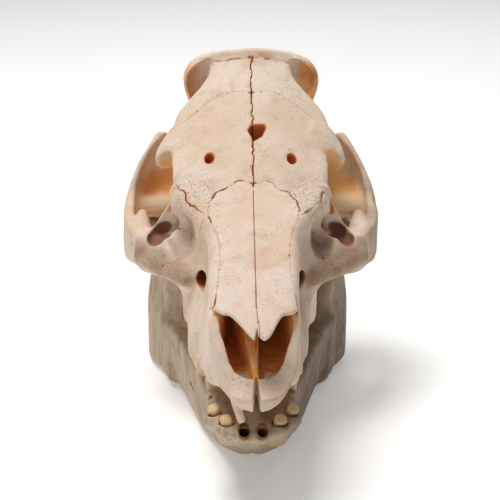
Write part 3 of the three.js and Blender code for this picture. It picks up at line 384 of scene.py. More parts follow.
def postorbital_process(ax, y, z):
    middle = mix(175, 180, ramp(92, 106, z))
    thick = mix(2.4, 6, ramp(88, 104, z))
    tongue = overlap(np.abs(y - middle) - thick, flat_outline(POSTORBITAL_FRONT, ax, z), 3)
    return overlap(tongue, z - ROOF_Z(y) + 0.0043 * ax * ax, 3)


def jaw_socket(ax, y, z):
    middle = mix(207, 214, ramp(40, 96, z)) + 0.006 * (ax - 45) ** 2
    wall = overlap(np.abs(y - middle) - 3.4, flat_outline(SQUAMA_REAR, ax, z), 4)
    return join(join(capsule(ax, y, z, *SOCKET_BAR), wall, 8), capsule(ax, y, z, *SOCKET_LIP), 3)


def skull_base(ax, y, z):
    d = join(ellipsoid(ax, y, z, *OCCIPITAL_CONDYLE), capsule(ax, y, z, *JUGULAR_PROCESS), 5)
    d = join(d, capsule(ax, y, z, *EAR_BULLA), 4)
    return join(d, capsule(ax, y, z, *PALATE_WING), 5)


def tooth_row(ax, y, z, half, first, last, bottom, top, narrow, wide):
    wave = 0.9 * np.cos((y - first) * (2 * math.pi / TOOTH_LENGTH))
    width = mix(narrow, wide, ramp(first, last, y)) + wave
    cusps = 0.7 * np.cos((y - first) * (4 * math.pi / TOOTH_LENGTH))
    d = overlap(np.abs(ax - half) - width, np.maximum(first - y, y - last), 3)
    return overlap(d, np.maximum(bottom - z, z - top - cusps), 1.5)


def nose_cavity(ax, y, z):
    shell = mix(3, 5.5, ramp(14, 50, y))
    d = overlap(flat_outline(NOSE_PLAN, ax, y), z - ROOF_Z(y) + shell, 4)
    return overlap(d, 13.36 + 0.03 * y - 0.02 * ax - z, 5)


def vomer(x, y, z):
    back = np.maximum(y - 15, 0)
    side = np.where(x < 0, -x - 1.4 - 0.2 * back, x - 1.3)
    return overlap(side, z - np.minimum(18.6 + 0.55 * back, 36) - 0.02 * x * x, 1)


def palate_slit(ax, y):
    along = np.clip((y - 19) / 12, 0, 1)
    return np.hypot(ax - 6 - along, y - 19 - 12 * along) - 2.3


def face_tunnel(ax, y, z):
    along = np.clip((y - 96) / 30, 0, 1)
    middle, height = mix(26.3, 22, along), mix(41.8, 42.5, along)
    across = (np.hypot((ax - middle) * 1.15, z - height) - 5.4) / 1.2
    return overlap(across, np.maximum(86 + 0.6 * (42 - z) - y, y - 126), 2)


def nose_notch(x, y, z):
    ax = np.abs(x)
    edge = 13 + 33 * ramp(4, 38, y) ** 1.15
    hood = ROOF_Z(y) - mix(3, 5.5, ramp(14, 50, y))
    under_hood = overlap(z - hood, edge - z, 2)
    bevel = 0.9 * np.maximum(ROOF_Z(y) - 1 - z, 0)
    beside = -flat_outline(TIP_PLAN, np.abs(x - NASAL_TIP_BEND * ramp(34, 9, y)), y - bevel)
    beside_tip = overlap(np.maximum(edge - z, y - 34), beside, 0.8)
    return np.maximum(np.minimum(np.maximum(under_hood, y - 40), beside_tip), ax - 40)


def cranium(x, y, z):
    ax = evened(x, y, z)
    d = join(head_block(ax, y, z), cheek_root(ax, y, z), 6)
    d = carve(d, ellipsoid(ax, y, z, *EYE_SOCKET), 5)
    d = join(d, nuchal_plate(ax, y, z), 5)
    d = join(d, zygomatic_arch(ax, y, z), 7)
    d = join(d, orbit_rim(ax, y, z), 3)
    d = carve(d, ellipsoid(ax, y, z, *CHEEK_HOLLOW), 6)
    d = carve(d, cheek_pit(ax, y, z), 2.5)
    d = join(d, postorbital_process(ax, y, z), 5)
    d = join(d, jaw_socket(ax, y, z), 9)
    d = join(d, skull_base(ax, y, z), 5)
    d = join(d, tooth_row(ax, y, z, TOOTH_ROW_HALF(y), *UPPER_TEETH_Y, 1, 12, 5, 7.5), 1.5)
    d = carve(d, carve(nose_cavity(np.abs(x), y, z), vomer(x, y, z), 1), 1.5)
    d = carve(d, nose_notch(x, y, z), 1)
    d = carve(d, np.maximum(palate_slit(ax, y), z - 24), 1)
    d = carve(d, face_tunnel(ax, y, z), 1)
    d = carve(d, ellipsoid(ax, y, z, *BROW_FORAMEN), 0.8)
    d = join(d, np.maximum(peg(-x, y, z, *UPPER_PEG), UPPER_PEG_BOTTOM - z), 1)
    d = carve(d, np.maximum(flat_outline(ROOF_HOLE, x, y), ROOF_Z(y) - ROOF_HOLE_DEPTH - z), 0.8)
    tip_gap = mix(2.1, 0.3, np.clip((y - 3) / 13, 0, 1))
    d = carve(d, np.maximum(np.abs(x) - tip_gap, y - 17), 0.6)
    d = carve(d, capsule(ax, y, z, *THROAT_OPENING), 4)
    d = carve(d, capsule(ax, y, z, *SPINE_OPENING), 3)
    return d + 0.3 * unevenness(13, x, y, z) + 0.12 * unevenness(4.5, x + 50, y, z)


def peg(x, y, z, tip, root, tip_radius, root_radius):
    """A tapered round tooth with a flat, worn tip."""
    length = math.dist(tip, root)
    run = [(b - a) / length for a, b in zip(tip, root)]
    p = (x - tip[0], y - tip[1], z - tip[2])
    along = p[0] * run[0] + p[1] * run[1] + p[2] * run[2]
    around = np.sqrt(np.maximum(p[0] ** 2 + p[1] ** 2 + p[2] ** 2 - along ** 2, 0))
    radius = mix(tip_radius, root_radius, np.clip(along / length, 0, 1))
    return overlap(around - radius, np.maximum(-along, along - length), 0.8)


def lower_stubs(ax, y, z):
    return np.minimum.reduce([peg(ax, y, z, *stub) for stub in LOWER_STUBS])


def empty_sockets(ax, y, z):
    return np.minimum.reduce([capsule(ax, y, z, *socket) for socket in EMPTY_SOCKETS])


# The mandible
def mandible(x, y, z):
    ax = np.abs(x - MANDIBLE_SHIFT)
    lower, upper = JAW_LOWER_Z(y), JAW_UPPER_Z(y)
    depth = np.clip((upper - z) / (upper - lower), 0, 1)
    outer = mix(JAW_OUTER(y), JAW_OUTER_LOW(y), depth ** 1.5)
    inner = JAW_INNER(y) - 6 * (1 - depth) * ramp(70, 110, y)
    d = overlap(ax - outer, inner - ax, 6)
    d = overlap(d, lower - z, mix(16, 8, ramp(50, 110, y)))
    d = overlap(d, z - upper, 5)
    d = overlap(d, 3 - y, 5)
    d = overlap(d, y - 172, 8)
    plate = mix(44, 58.8, ramp(158, 206, y)) - 4 * ramp(-10, 36, z)
    thick = mix(5, 3.4, ramp(-30, 30, z))
    d = join(d, overlap(np.abs(ax - plate) / 1.08 - thick, flat_outline(RAMUS_SIDE, y, z), 5), 8)
    d = join(d, capsule(ax, y, z, *JAW_FRONT_EDGE), 8)
    d = join(d, capsule(ax, y, z, *JAW_CONDYLE), 5)
    d = join(d, tooth_row(ax, y, z, LOWER_ROW_HALF(y), *LOWER_TEETH_Y, -14, -1.1, 4.5, 6.5), 1.5)
    for base in STUB_BASES:
        d = join(d, capsule(ax, y, z, *base), 3)
    d = carve(d, lower_stubs(ax, y, z + 1) - 0.9, 0.6)
    d = np.minimum(d, lower_stubs(ax, y, z))
    d = carve(d, empty_sockets(ax, y, z), 0.8)
    d = carve(d, capsule(x, y, z, *JAW_SLIT), 0.4)
    d = d + 0.3 * unevenness(13, x, y, z) + 0.12 * unevenness(4.5, x + 50, y, z)
    d = np.maximum(d, TABLE_Z - z)
    near = z > JAW_CLEAR_FROM_Z
    d[near] = np.maximum(d[near], JAW_CLEARANCE - cranium(x[near], y[near], z[near]))
    return d


# Fields on a grid
COARSE = 4
BAND = 6.5
CHUNK = 60000
WORKERS = 4
FAR = 20


class Grid:
    """A form sampled on a fine grid, worked out only near its surface."""

    def __init__(self, form, low, high, step):
        self.step = step
        self.low = np.array(low, np.float32)
        wide = step * COARSE
        count = [int(math.ceil((b - a) / wide)) + 1 for a, b in zip(low, high)]
        self.axes = [(low[i] + step * np.arange(count[i] * COARSE)).astype(np.float32) for i in range(3)]
        middle = [low[i] + wide * (np.arange(count[i]) + 0.5) - step / 2 for i in range(3)]
        coarse = self.sample(form, *[m.ravel() for m in np.meshgrid(*middle, indexing="ij")]).reshape(count)
        near = np.argwhere(np.abs(coarse) < BAND)
        self.value = np.repeat(np.repeat(np.repeat(coarse, COARSE, 0), COARSE, 1), COARSE, 2)
        inner = np.stack(np.meshgrid(*[np.arange(COARSE)] * 3, indexing="ij"), -1).reshape(1, -1, 3)
        index = (near[:, None, :] * COARSE + inner).reshape(-1, 3)
        place = [self.axes[i][index[:, i]] for i in range(3)]
        self.value[index[:, 0], index[:, 1], index[:, 2]] = self.sample(form, *place)

    @staticmethod
    def sample(form, x, y, z):
        x, y, z = (np.asarray(a, np.float32) for a in (x, y, z))
        starts = range(0, len(x), CHUNK)
        with ThreadPoolExecutor(WORKERS) as pool:
            parts = pool.map(lambda s: form(x[s:s + CHUNK], y[s:s + CHUNK], z[s:s + CHUNK]), starts)
            return np.concatenate([np.asarray(p, np.float32) for p in parts])


CELL_EDGES = [(a, b) for a in range(8) for b in range(a + 1, 8) if bin(a ^ b).count("1") == 1]


def surface(value, low, step):
    """The surface value = 0 as (points, quads, cells), one point in each cell that it passes through."""
    inside = value < 0
    part = [[slice(0, n - 1), slice(1, n)] for n in value.shape]
    corners = [inside[part[0][c & 1], part[1][c >> 1 & 1], part[2][c >> 2]] for c in range(8)]
    count = sum(c.astype(np.int8) for c in corners)
    cells = np.argwhere((count > 0) & (count < 8))
    number = np.full(count.shape, -1, np.int32)
    number[tuple(cells.T)] = np.arange(len(cells))
    offset = np.array([(c & 1, c >> 1 & 1, c >> 2) for c in range(8)])
    at = [value[tuple((cells + o).T)] for o in offset]
    total, crossings = np.zeros((len(cells), 3)), np.zeros(len(cells))
    for a, b in CELL_EDGES:
        crossed = (at[a] < 0) != (at[b] < 0)
        t = np.where(crossed, at[a] / np.where(crossed, at[a] - at[b], 1), 0)
        total += crossed[:, None] * (offset[a] + (offset[b] - offset[a]) * t[:, None])
        crossings += crossed
    points = low + step * (cells + total / crossings[:, None])
    quads = []
    for axis in range(3):
        u, v = (axis + 1) % 3, (axis + 2) % 3
        first, second = [slice(None)] * 3, [slice(None)] * 3
        first[axis], second[axis] = slice(0, -1), slice(1, None)
        for side in (u, v):
            first[side] = second[side] = slice(1, -1)
        change = np.argwhere(inside[tuple(first)] != inside[tuple(second)])
        change[:, u] += 1
        change[:, v] += 1
        ring = []
        for du, dv in ((-1, -1), (0, -1), (0, 0), (-1, 0)):
            cell = change.copy()
            cell[:, u] += du
            cell[:, v] += dv
            ring.append(number[tuple(cell.T)])
        ring = np.stack(ring, 1)
        outward = inside[tuple(change.T)]
        quads.append(np.where(outward[:, None], ring, ring[:, ::-1]))
    return points, np.concatenate(quads), cells


def read(grid, values, points):
    """The values of a grid at points, in between its places too."""
    at = (points - grid.low) / grid.step
    cell = np.clip(np.floor(at).astype(int), 0, np.array(values.shape) - 2)
    part = np.clip(at - cell, 0, 1)
    total = 0
    for c in range(8):
        step = np.array((c & 1, c >> 1 & 1, c >> 2))
        weight = np.prod(np.where(step, part, 1 - part), 1)
        total = total + weight * values[tuple((cell + step).T)]
    return total


def largest_body(points, quads, cells):
    """The largest connected piece of a surface."""
    label = np.arange(len(points))
    while True:
        lowest = label[quads].min(1)
        spread = label.copy()
        np.minimum.at(spread, quads.ravel(), np.repeat(lowest, 4))
        spread = spread[spread]
        if (spread == label).all():
            break
        label = spread
    kept = label == np.bincount(label[quads[:, 0]]).argmax()
    number = np.cumsum(kept) - 1
    return points[kept], number[quads[kept[quads[:, 0]]]], cells[kept]


# Bones of the cranium: outlines from above as (x, y) for one half, and from the side as (y, z).
NASAL_PLAN = ((-12, -8), (26, -8), (26, 33), (21.4, 36), (20.6, 46), (19.2, 58), (18.6, 74), (19.2, 84),
              (21, 95), (24.5, 105), (26, 114), (24.5, 122), (20.5, 129), (15, 131), (11, 134.5), (6, 136),
              (0, 133.5), (-12, 133.5))
FRONTAL_PLAN = ((-12, 100), (20, 100), (29, 112), (38, 126), (47, 146), (62, 160), (62, 184), (47, 185),
                (42, 187), (34, 193), (26, 198.5), (18.5, 202.5), (11, 204), (0, 202.5), (-12, 202.5))
TEAR_BONE_PLAN = ((20, 106), (40, 106), (50, 136), (52, 151), (44, 153), (30, 140))
NASAL_SIDE = ((-8, 34), (10, 36.5), (33, 45), (60, 53.5), (90, 63), (115, 71.5), (140, 83), (140, 110),
              (-8, 110))
FRONTAL_SIDE = ((98, 66), (118, 74), (140, 78), (158, 82.5), (186, 83), (206, 104), (206, 150), (98, 150))
TEAR_BONE_SIDE = ((104, 62), (126, 58), (146, 58), (156, 66), (156, 92), (104, 92))
PREMAXILLA_SIDE = ((-8, -8), (33, -8), (37, 12), (46, 32), (74, 53), (74, 75), (-8, 75))
CHEEKBONE_SIDE = ((114, 46), (124, 32), (138, 24), (178, 24), (187, 50), (184, 76), (150, 70), (136, 62))
MAXILLA_SIDE = ((20, -8), (172, -8), (172, 12), (150, 25), (128, 34), (118, 52), (106, 90), (20, 90))
OCCIPITAL_SIDE = ((229.5, 170), (229.5, 138), (224, 95), (221, 42), (203, 30), (200, -12), (260, -12),
                  (260, 170))
TEMPORAL_PLAN = ((25, 184), (58, 170), (95, 166), (95, 240), (28, 240), (25, 226))
TEMPORAL_SIDE = ((160, 20), (240, 20), (240, 100), (160, 100))
PARIETAL_SIDE = ((150, 88), (236, 112), (236, 175), (150, 175))
CHEEKBONE_INNER = 33
REACH = 110
MARGIN = 5
SEAM_WALL_DEPTH = 0.35
WHOLE, HALVES, CRACKED = range(3)
# Name, how it divides at the midline, and its outlines from above and from the side.
BONES = (
    ("nasal", HALVES, NASAL_PLAN, NASAL_SIDE),
    ("frontal", HALVES, FRONTAL_PLAN, FRONTAL_SIDE),
    ("lacrimal", HALVES, TEAR_BONE_PLAN, TEAR_BONE_SIDE),
    ("premaxilla", HALVES, None, PREMAXILLA_SIDE),
    ("zygomatic", HALVES, None, CHEEKBONE_SIDE),
    ("maxilla", HALVES, None, MAXILLA_SIDE),
    ("occipital", WHOLE, None, OCCIPITAL_SIDE),
    ("parietal", CRACKED, None, PARIETAL_SIDE),
    ("temporal", HALVES, TEMPORAL_PLAN, TEMPORAL_SIDE),
)


def limits_of(axes, plan, side_view):
    """The part of the grid that holds a bone's region, with a margin."""
    ends = [(-REACH, REACH), *[(min(values), max(values)) for values in zip(*side_view)]]
    if plan:
        across, along = zip(*plan)
        ends[0] = (-max(across), max(across))
        ends[1] = (max(ends[1][0], min(along)), min(ends[1][1], max(along)))
    places = [np.searchsorted(axis, (low - MARGIN, high + MARGIN)) for axis, (low, high) in zip(axes, ends)]
    return tuple(slice(int(a), int(b)) for a, b in places)


def showing(x, y, z):
    """How plainly a suture shows, from 0 where the bones have grown together to 1 at an open crack."""
    ax = np.abs(x)
    on_top = ramp(14, 9, ROOF_Z(y) - 0.003 * ax * ax - z)
    broken = ramp(-0.55, 0.35, unevenness(6, x, y))
    middle = 0.16 + 0.34 * ramp(62, 28, y) + 0.84 * ramp(127, 136, y)
    middle = ramp(2.6, 1.6, ax) * middle * ramp(232, 229, y)
    brow = window(98, 106, 150, 156, y) * ramp(3, 6, ax) * mix(0.25, 1, broken)
    beside_nose = ramp(106, 98, y) * window(11, 13, 25, 28, ax) * mix(0.22, 1, ramp(46, 38, y))
    across_roof = ramp(182, 190, y) * (0.32 + 0.5 * ramp(37, 42, ax))
    across_roof = across_roof + 0.25 * ramp(222, 227, y) * (0.4 + broken)
    across_roof = across_roof * mix(0.5, 1, ramp(3, 7, ax))
    shown = np.maximum.reduce([middle, brow, beside_nose, across_roof])
    return np.clip(shown, 0, 1) * on_top


def parted(grid):
    """The cranium's bones as (name, points, quads), and how far each place of the grid is from a suture."""
    gx, gy, gz = grid.axes[0][:, None, None], grid.axes[1][None, :, None], grid.axes[2][None, None, :]
    flat_x, flat_y = np.meshgrid(grid.axes[0], grid.axes[1], indexing="ij")
    cross_x, cross_z = np.meshgrid(grid.axes[0], grid.axes[2], indexing="ij")
    middle = flat_x + 0.45 * unevenness(7, flat_x, flat_y) * ramp(120, 150, flat_y)
    middle = middle + 1.1 * unevenness(2.6, flat_x, flat_y) * window(128, 134, 152, 165, flat_y)
    middle = middle + 0.75 * unevenness(3, flat_x, flat_y) * ramp(165, 175, flat_y)
    middle = (middle - NASAL_TIP_BEND * ramp(34, 9, flat_y))[:, :, None]
    crooked = 0.25 + 0.75 * window(98, 124, 142, 150, flat_y)
    jagged = crooked * (unevenness(5, flat_x, flat_y) + 0.8 * unevenness(2.2, flat_x, flat_y))
    wavy = 0.7 * unevenness(8, cross_x, cross_z) + 0.3 * unevenness(3, cross_x, cross_z)
    jagged = jagged[:, :, None] + (ramp(100, 130, cross_z) * wavy)[:, None, :]
    half_gap = (0.04 + 0.13 * showing(flat_x, flat_y, ROOF_Z(flat_y)) ** 2)[:, :, None]
    whole_points, _, whole_cells = surface(grid.value, grid.low, grid.step)
    home = np.full(grid.value.shape, -1, np.int32)
    home[tuple(whole_cells.T)] = np.arange(len(whole_cells))
    left = grid.value.copy()
    seam = np.full(left.shape, FAR, np.float32)
    bones = []

    def take(name, region, box):
        """Adds the bone in a region, with its edge on the skull's whole surface at a closed suture."""
        start = np.array([b.start or 0 for b in box])
        corner = grid.low + grid.step * start
        points, quads, cells = largest_body(*surface(np.maximum(left[box], region), corner, grid.step))
        at = home[tuple((cells + start).T)]
        closed = (at >= 0) * (1 - showing(*points.astype(np.float32).T))
        points = mix(points, whole_points[np.maximum(at, 0)], closed[:, None])
        bones.append((name, points, quads))

    for name, division, plan, side_view in BONES:
        box = limits_of(grid.axes, plan, side_view)
        x, y, z = gx[box[0]], gy[:, box[1]], gz[:, :, box[2]]
        region = flat_outline(side_view, y, z)
        if plan:
            region = np.maximum(region, flat_outline(plan, np.abs(x), y))
        if name == "zygomatic":
            region = np.maximum(region, CHEEKBONE_INNER - np.abs(x))
        region = (region + jagged[box]).astype(np.float32)
        midline, gap = middle[box[:2]], half_gap[box[:2]]
        if division == WHOLE:
            take(name, region + gap, box)
        else:
            take(name + "_left", np.maximum(region, -midline) + gap, box)
            take(name + "_right", np.maximum(region, midline) + gap, box)
        edge = np.abs(region)
        if division != WHOLE:
            edge = np.where(region < 0, np.minimum(edge, np.abs(midline)), edge)
        seam[box] = np.where(left[box] < 1, np.minimum(seam[box], edge), seam[box])
        left[box] = np.maximum(left[box], gap - region)
    take("braincase", -FAR, (slice(None),) * 3)
    return bones, seam


# Masks over the surface, from 0 to 1
def holes(x, y, z):
    """How deep in a foramen or pit a place is, below zero inside."""
    ax = evened(x, y, z)
    d = np.minimum(face_tunnel(ax, y, z) + 0.8, ellipsoid(ax, y, z, *BROW_FORAMEN))
    d = np.minimum(d, np.maximum(flat_outline(ROOF_HOLE, x, y), ROOF_Z(y) - ROOF_HOLE_DEPTH - 2 - z))
    d = np.minimum(d, capsule(ax, y, z, *TEAR_HOLE) + 0.2)
    return np.minimum(d, capsule(ax, y, z, *BROW_EDGE_PIT))


def cranium_marks(points, seam):
    """Where each finish of the cranium shows, for every point."""
    x, y, z = (points[:, i].astype(np.float32) for i in range(3))
    ax = evened(x, y, z)
    to_left = ramp(-8, 8, x)
    under = ROOF_Z(y) - CASE_CROWN * ax * ax - z
    behind_arch = arch_outside(y, z) - ax

    # The golden hollows behind the eyes, under the crest and on the brow's tongue: partly the bone's own
    # golden stain, partly painted shade and bounced light, stronger on the shaded left side, with painted
    # light on the pale floor.
    fossa = ramp(3, 9, under) * ramp(158, 170, y) * ramp(3.5, 10, behind_arch)
    fossa = fossa * mix(0.15, 1, ramp(54, 66, z)) * np.where(ax > 45, ramp(211, 207, y), ramp(233, 230, y))
    by_crest = mix(0.48, 0.72, to_left) * ramp(21, 35, ax)
    by_crest = by_crest * window(214, 220, 235.5, 237, y) * window(100, 108, 136, 141, z)
    at_socket = 0.9 * ramp(2.6, 0.8, np.abs(z - 49)) * window(46, 49, 64, 67, ax)
    at_socket = at_socket * window(188, 192, 200, 204, y)
    tongue = mix(0.52, 0.65, to_left) * ramp(-1, -4, flat_outline(POSTORBITAL_FRONT, ax, z))
    tongue = tongue * ramp(101, 95, z) * window(165, 168, 180, 184, y)
    # Painted light on the floor of the fossa, behind the arch.
    pale = window(47, 53, 58, 68, z) * window(180, 190, 207, 211, y) * ramp(1.2, 3, behind_arch)

    # Painted light bounced through the thin bone, and painted shade, amber inside the nose and on the edge
    # of its opening.
    cavity = nose_cavity(np.abs(x), y, z)
    beside = 0.42 * ramp(6.5, 0.5, cavity) * window(26, 34, 44, 56, y) * ramp(15, 18, ax)
    inside_nose = np.maximum(ramp(1.4, -0.2, cavity), beside) * mix(1, ramp(10, 17, y), ramp(10, 7, ax))
    inside_nose = inside_nose * ramp(100, 90, y) * ramp(1, 4, under + 3 * beside)

    # Rough bone on the cheeks, and painted shade in the hollows before the eyes, beside the nasals, low on
    # the front and on the shaded left side.
    crest = capsule(ax, y, z, *WORN_CREST) + 2.5 * unevenness(9, x, y, z)
    worn = ramp(4.5, -2.5, crest) * ramp(54, 46, z) * ramp(28, 36, z + 3 * unevenness(7, x, y, z))
    cheek_hollow_shade = ramp(1.5, -1, ellipsoid(ax, y, z, *CHEEK_SHADE)) * mix(1, 1.7, ramp(20, 30, x))
    shade_beside_nasals = 0.5 * window(4, 8, 12, 24, under) * window(48, 60, 100, 112, y)
    shade_low_in_front = mix(0.1, 0.55, to_left) * ramp(34, 20, z) * ramp(46, 34, y)
    shaded_left_face = 0.75 * ramp(18, 26, x) * ramp(6, 14, under) * ramp(124, 108, y)
    shaded_left_arch = 0.9 * ramp(66, 72, x) * ramp(86, 62, z)

    # Painted shade in the pit below the eye, darkest towards its bottom.
    pit = ramp(1.3, 0.3, cheek_pit(ax, y, z)) * ramp(67, 64, z)
    pit = pit * mix(0.85, 1, ramp(61, 55, slanted(ax, z)))
    patch = np.hypot((x - 3) / 14, (y - 72) / 23) + 0.35 * unevenness(9, x, y, z)
    patch = 0.38 * ramp(1.2, 0.2, patch) * ramp(5, 2, under)
    pored = window(108, 116, 138, 150, y) * window(17, 24, 40, 46, ax) * ramp(8, 4, under)
    teeth = tooth_row(ax, y, z, TOOTH_ROW_HALF(y), *UPPER_TEETH_Y, -1, 9, 5.6, 8.1)
    teeth = np.minimum(teeth, np.maximum(peg(-x, y, z, *UPPER_PEG), z - 4.5))
    return {
        "seam": ramp(1.4, 0.2, seam) * showing(x, y, z) ** 0.7,
        # Painted shade inside the foramina and pits, and a real brown stain on the nasals.
        "stain_and_hole_shade": np.maximum(ramp(1.5, 0.2, holes(x, y, z)), patch),
        "nose_bounce_and_shade": inside_nose,
        "pit": pit,
        "worn": worn,
        "painted_shade": np.maximum.reduce([cheek_hollow_shade, shade_beside_nasals, shade_low_in_front, shaded_left_face, shaded_left_arch]),
        "pored": pored,
        "pale": pale,
        "hollow_stain_and_shade": np.maximum.reduce([fossa, by_crest, at_socket, tongue]),
        "tooth": ramp(0.6, -0.4, teeth),
    }


def jaw_marks(points):
    """Where each finish of the mandible shows, for every point."""
    x, y, z = (points[:, i].astype(np.float32) for i in range(3))
    ax = np.abs(x - MANDIBLE_SHIFT)
    stubs = lower_stubs(ax, y, z)
    middles = [capsule(ax, y, z, tip, (*tip[:2], tip[2] - 0.5), 0, 0) for tip, *_ in LOWER_STUBS]
    ring = np.where(stubs > 0.35, stubs - 1.1, 2)
    # Painted shadow in the empty sockets, round the stubs and in the nerve slit.
    hole_shadow = np.minimum.reduce([empty_sockets(ax, y, z), ring, capsule(x, y, z, *JAW_SLIT)])
    teeth = tooth_row(ax, y, z, LOWER_ROW_HALF(y), *LOWER_TEETH_Y, -8, -1, 5, 7)
    # Painted shade on the inner face behind the front teeth, under the chin and on the shaded left side.
    inner = ramp(16, 12, ax) * ramp(-22, -15, z) * ramp(12, 18, y)
    shade_under_chin = 1.1 * ramp(-14, -30, z) * ramp(80, 40, y)
    shaded_left_side = 1.5 * ramp(2, 30, x) * mix(0.6, 1, ramp(14, -20, z))
    marks = dict.fromkeys(("seam", "nose_bounce_and_shade", "pit", "worn", "pale", "hollow_stain_and_shade"), np.zeros(len(x)))
    marks["stain_and_hole_shade"] = np.maximum(ramp(0.7, -0.3, hole_shadow), 0.45 * ramp(2, 1, np.minimum.reduce(middles)))
    marks["painted_shade"] = np.maximum.reduce([inner, shade_under_chin, shaded_left_side])
    marks["pored"] = 0.8 * ramp(-10, -22, z) * ramp(60, 30, y)
    marks["tooth"] = np.maximum(ramp(0.5, 0.2, stubs), ramp(0.6, -0.3, teeth))
    return marks


def add_piece(name, node, points, quads, masks, finish, inner_faces=None):
    mesh = bpy.data.meshes.new(name)
    mesh.vertices.add(len(points))
    mesh.vertices.foreach_set("co", (points / 1000 + ORIGIN).astype(np.float32).ravel())
    mesh.loops.add(4 * len(quads))
    mesh.loops.foreach_set("vertex_index", quads.astype(np.int32).ravel())
    mesh.polygons.add(len(quads))
    mesh.polygons.foreach_set("loop_start", np.arange(0, 4 * len(quads), 4, dtype=np.int32))
    mesh.polygons.foreach_set("use_smooth", np.ones(len(quads), bool))
    mesh.update(calc_edges=True)
    if inner_faces is not None:
        # A bone's outside is shaded apart from the walls of its sutures.
        edge_of = np.zeros(4 * len(quads), np.int32)
        mesh.loops.foreach_get("edge_index", edge_of)
        touching = np.bincount(edge_of, weights=np.repeat(inner_faces, 4), minlength=len(mesh.edges))
        sharp = mesh.attributes.new("sharp_edge", "BOOLEAN", "EDGE")
        sharp.data.foreach_set("value", touching == 1)
    for mask, values in masks.items():
        attribute = mesh.attributes.new(mask, "FLOAT", "POINT")
        attribute.data.foreach_set("value", np.asarray(values, np.float32))
    mesh.materials.append(finish)
    piece = bpy.data.objects.new(name, mesh)
    bpy.context.scene.collection.objects.link(piece)
    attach(piece, "root")
    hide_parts(node)


# Finishes
class Value:
    """A number that varies over a surface. Arithmetic on it adds Math nodes."""

    def __init__(self, finish, socket):
        self.finish = finish
        self.socket = socket

    def maths(self, operation, *numbers):
        made = self.finish.node("ShaderNodeMath", {"operation": operation}, dict(enumerate(numbers)))
        return Value(self.finish, made)

    def __add__(self, other):
        return self.maths("ADD", self, other)

    __radd__ = __add__

    def __sub__(self, other):
        return self.maths("SUBTRACT", self, other)

    def __rsub__(self, other):
        return self.maths("SUBTRACT", other, self)

    def __mul__(self, other):
        return self.maths("MULTIPLY", self, other)

    __rmul__ = __mul__

    def larger(self, other):
        return self.maths("MAXIMUM", self, other)

    def between(self, start, end):
        """From 0 to 1 as this goes from start to end, smoothly."""
        settings = {"interpolation_type": "SMOOTHSTEP"}
        values = {"Value": self, "From Min": min(start, end), "From Max": max(start, end)}
        rising = Value(self.finish, self.finish.node("ShaderNodeMapRange", settings, values))
        return rising if start < end else 1 - rising


class Finish:
    """A material and the nodes that make its look."""

    def __init__(self, name):
        self.material = bpy.data.materials.new(name)
        self.material.use_nodes = True
        self.shader = self.material.node_tree.nodes["Principled BSDF"]
        self.place = self.node("ShaderNodeTexCoord", {}, {}, "Object")

    def node(self, kind, settings, values, output=0):
        """One output of a new node of that kind, whose settings are made before its sockets are fed."""
        made = self.material.node_tree.nodes.new(kind)
        for name, setting in settings.items():
            setattr(made, name, setting)
        for name, value in values.items():
            self.feed(made.inputs[name], value)
        return made.outputs[output]

    def feed(self, socket, value):
        if isinstance(value, Value):
            value = value.socket
        if isinstance(value, bpy.types.NodeSocket):
            self.material.node_tree.links.new(value, socket)
        else:
            socket.default_value = value

    def mask(self, name):
        return Value(self, self.node("ShaderNodeAttribute", {"attribute_name": name}, {}, "Fac"))

    def cloud(self, size, detail=3, roughness=0.55, stretch=1):
        """Noise mostly from 0.25 to 0.75, with features of that size in millimetres, drawn out upwards."""
        place = self.node("ShaderNodeMapping", {}, {"Vector": self.place, "Scale": (1, 1, 1 / stretch)})
        values = {"Vector": place, "Scale": 1000 / size, "Detail": detail, "Roughness": roughness}
        return Value(self, self.node("ShaderNodeTexNoise", {}, values))

    def pits(self, size):
        """Distance to the nearest of many scattered points, as a share of their spacing in millimetres."""
        values = {"Vector": self.place, "Scale": 1000 / size}
        return Value(self, self.node("ShaderNodeTexVoronoi", {}, values))

    def blend(self, share, first, second):
        return self.node("ShaderNodeMix", {"data_type": "RGBA"}, {0: share, 6: first, 7: second}, 2)

    def bump(self, height, distance, strength):
        values = {"Height": height, "Distance": distance, "Strength": strength}
        self.feed(self.shader.inputs["Normal"], self.node("ShaderNodeBump", {}, values))


def colour(red, green, blue):
    """A screen colour, each part from 0 to 255 and above 10, as a linear one."""
    return tuple(((c / 255 + 0.055) / 1.055) ** 2.4 for c in (red, green, blue)) + (1,)


GRIME = colour(168, 132, 92)
WORN_BROWN = colour(146, 112, 82)
# Painted light for the fossa's floor.
PAINTED_LIGHT_CREAM = colour(255, 236, 200)
PORE_BROWN = colour(122, 76, 38)
# Golden stain with painted bounced light, for the hollows.
GOLD_STAIN_AND_BOUNCED_LIGHT = colour(232, 150, 58), colour(236, 180, 108)
# Painted bounced light and shade inside the nose.
NOSE_BOUNCED_LIGHT_AMBER = colour(244, 158, 76), colour(250, 196, 132)
# Painted shade for the pit below the eye.
PAINTED_PIT_SHADE = colour(134, 84, 60)
SEAM_GLOW, SEAM_LINE = colour(206, 144, 80), colour(182, 110, 44)
# Real stains, and painted shade at the rims of holes.
STAIN_AND_HOLE_RIM_SHADE = colour(196, 128, 70)
IVORY = colour(214, 170, 112), colour(232, 205, 160)
# Painted shade inside the holes of the cranium, and painted shadow in the jaw's sockets.
PAINTED_HOLE_SHADE, PAINTED_SOCKET_SHADOW = colour(194, 96, 34), colour(52, 34, 22)


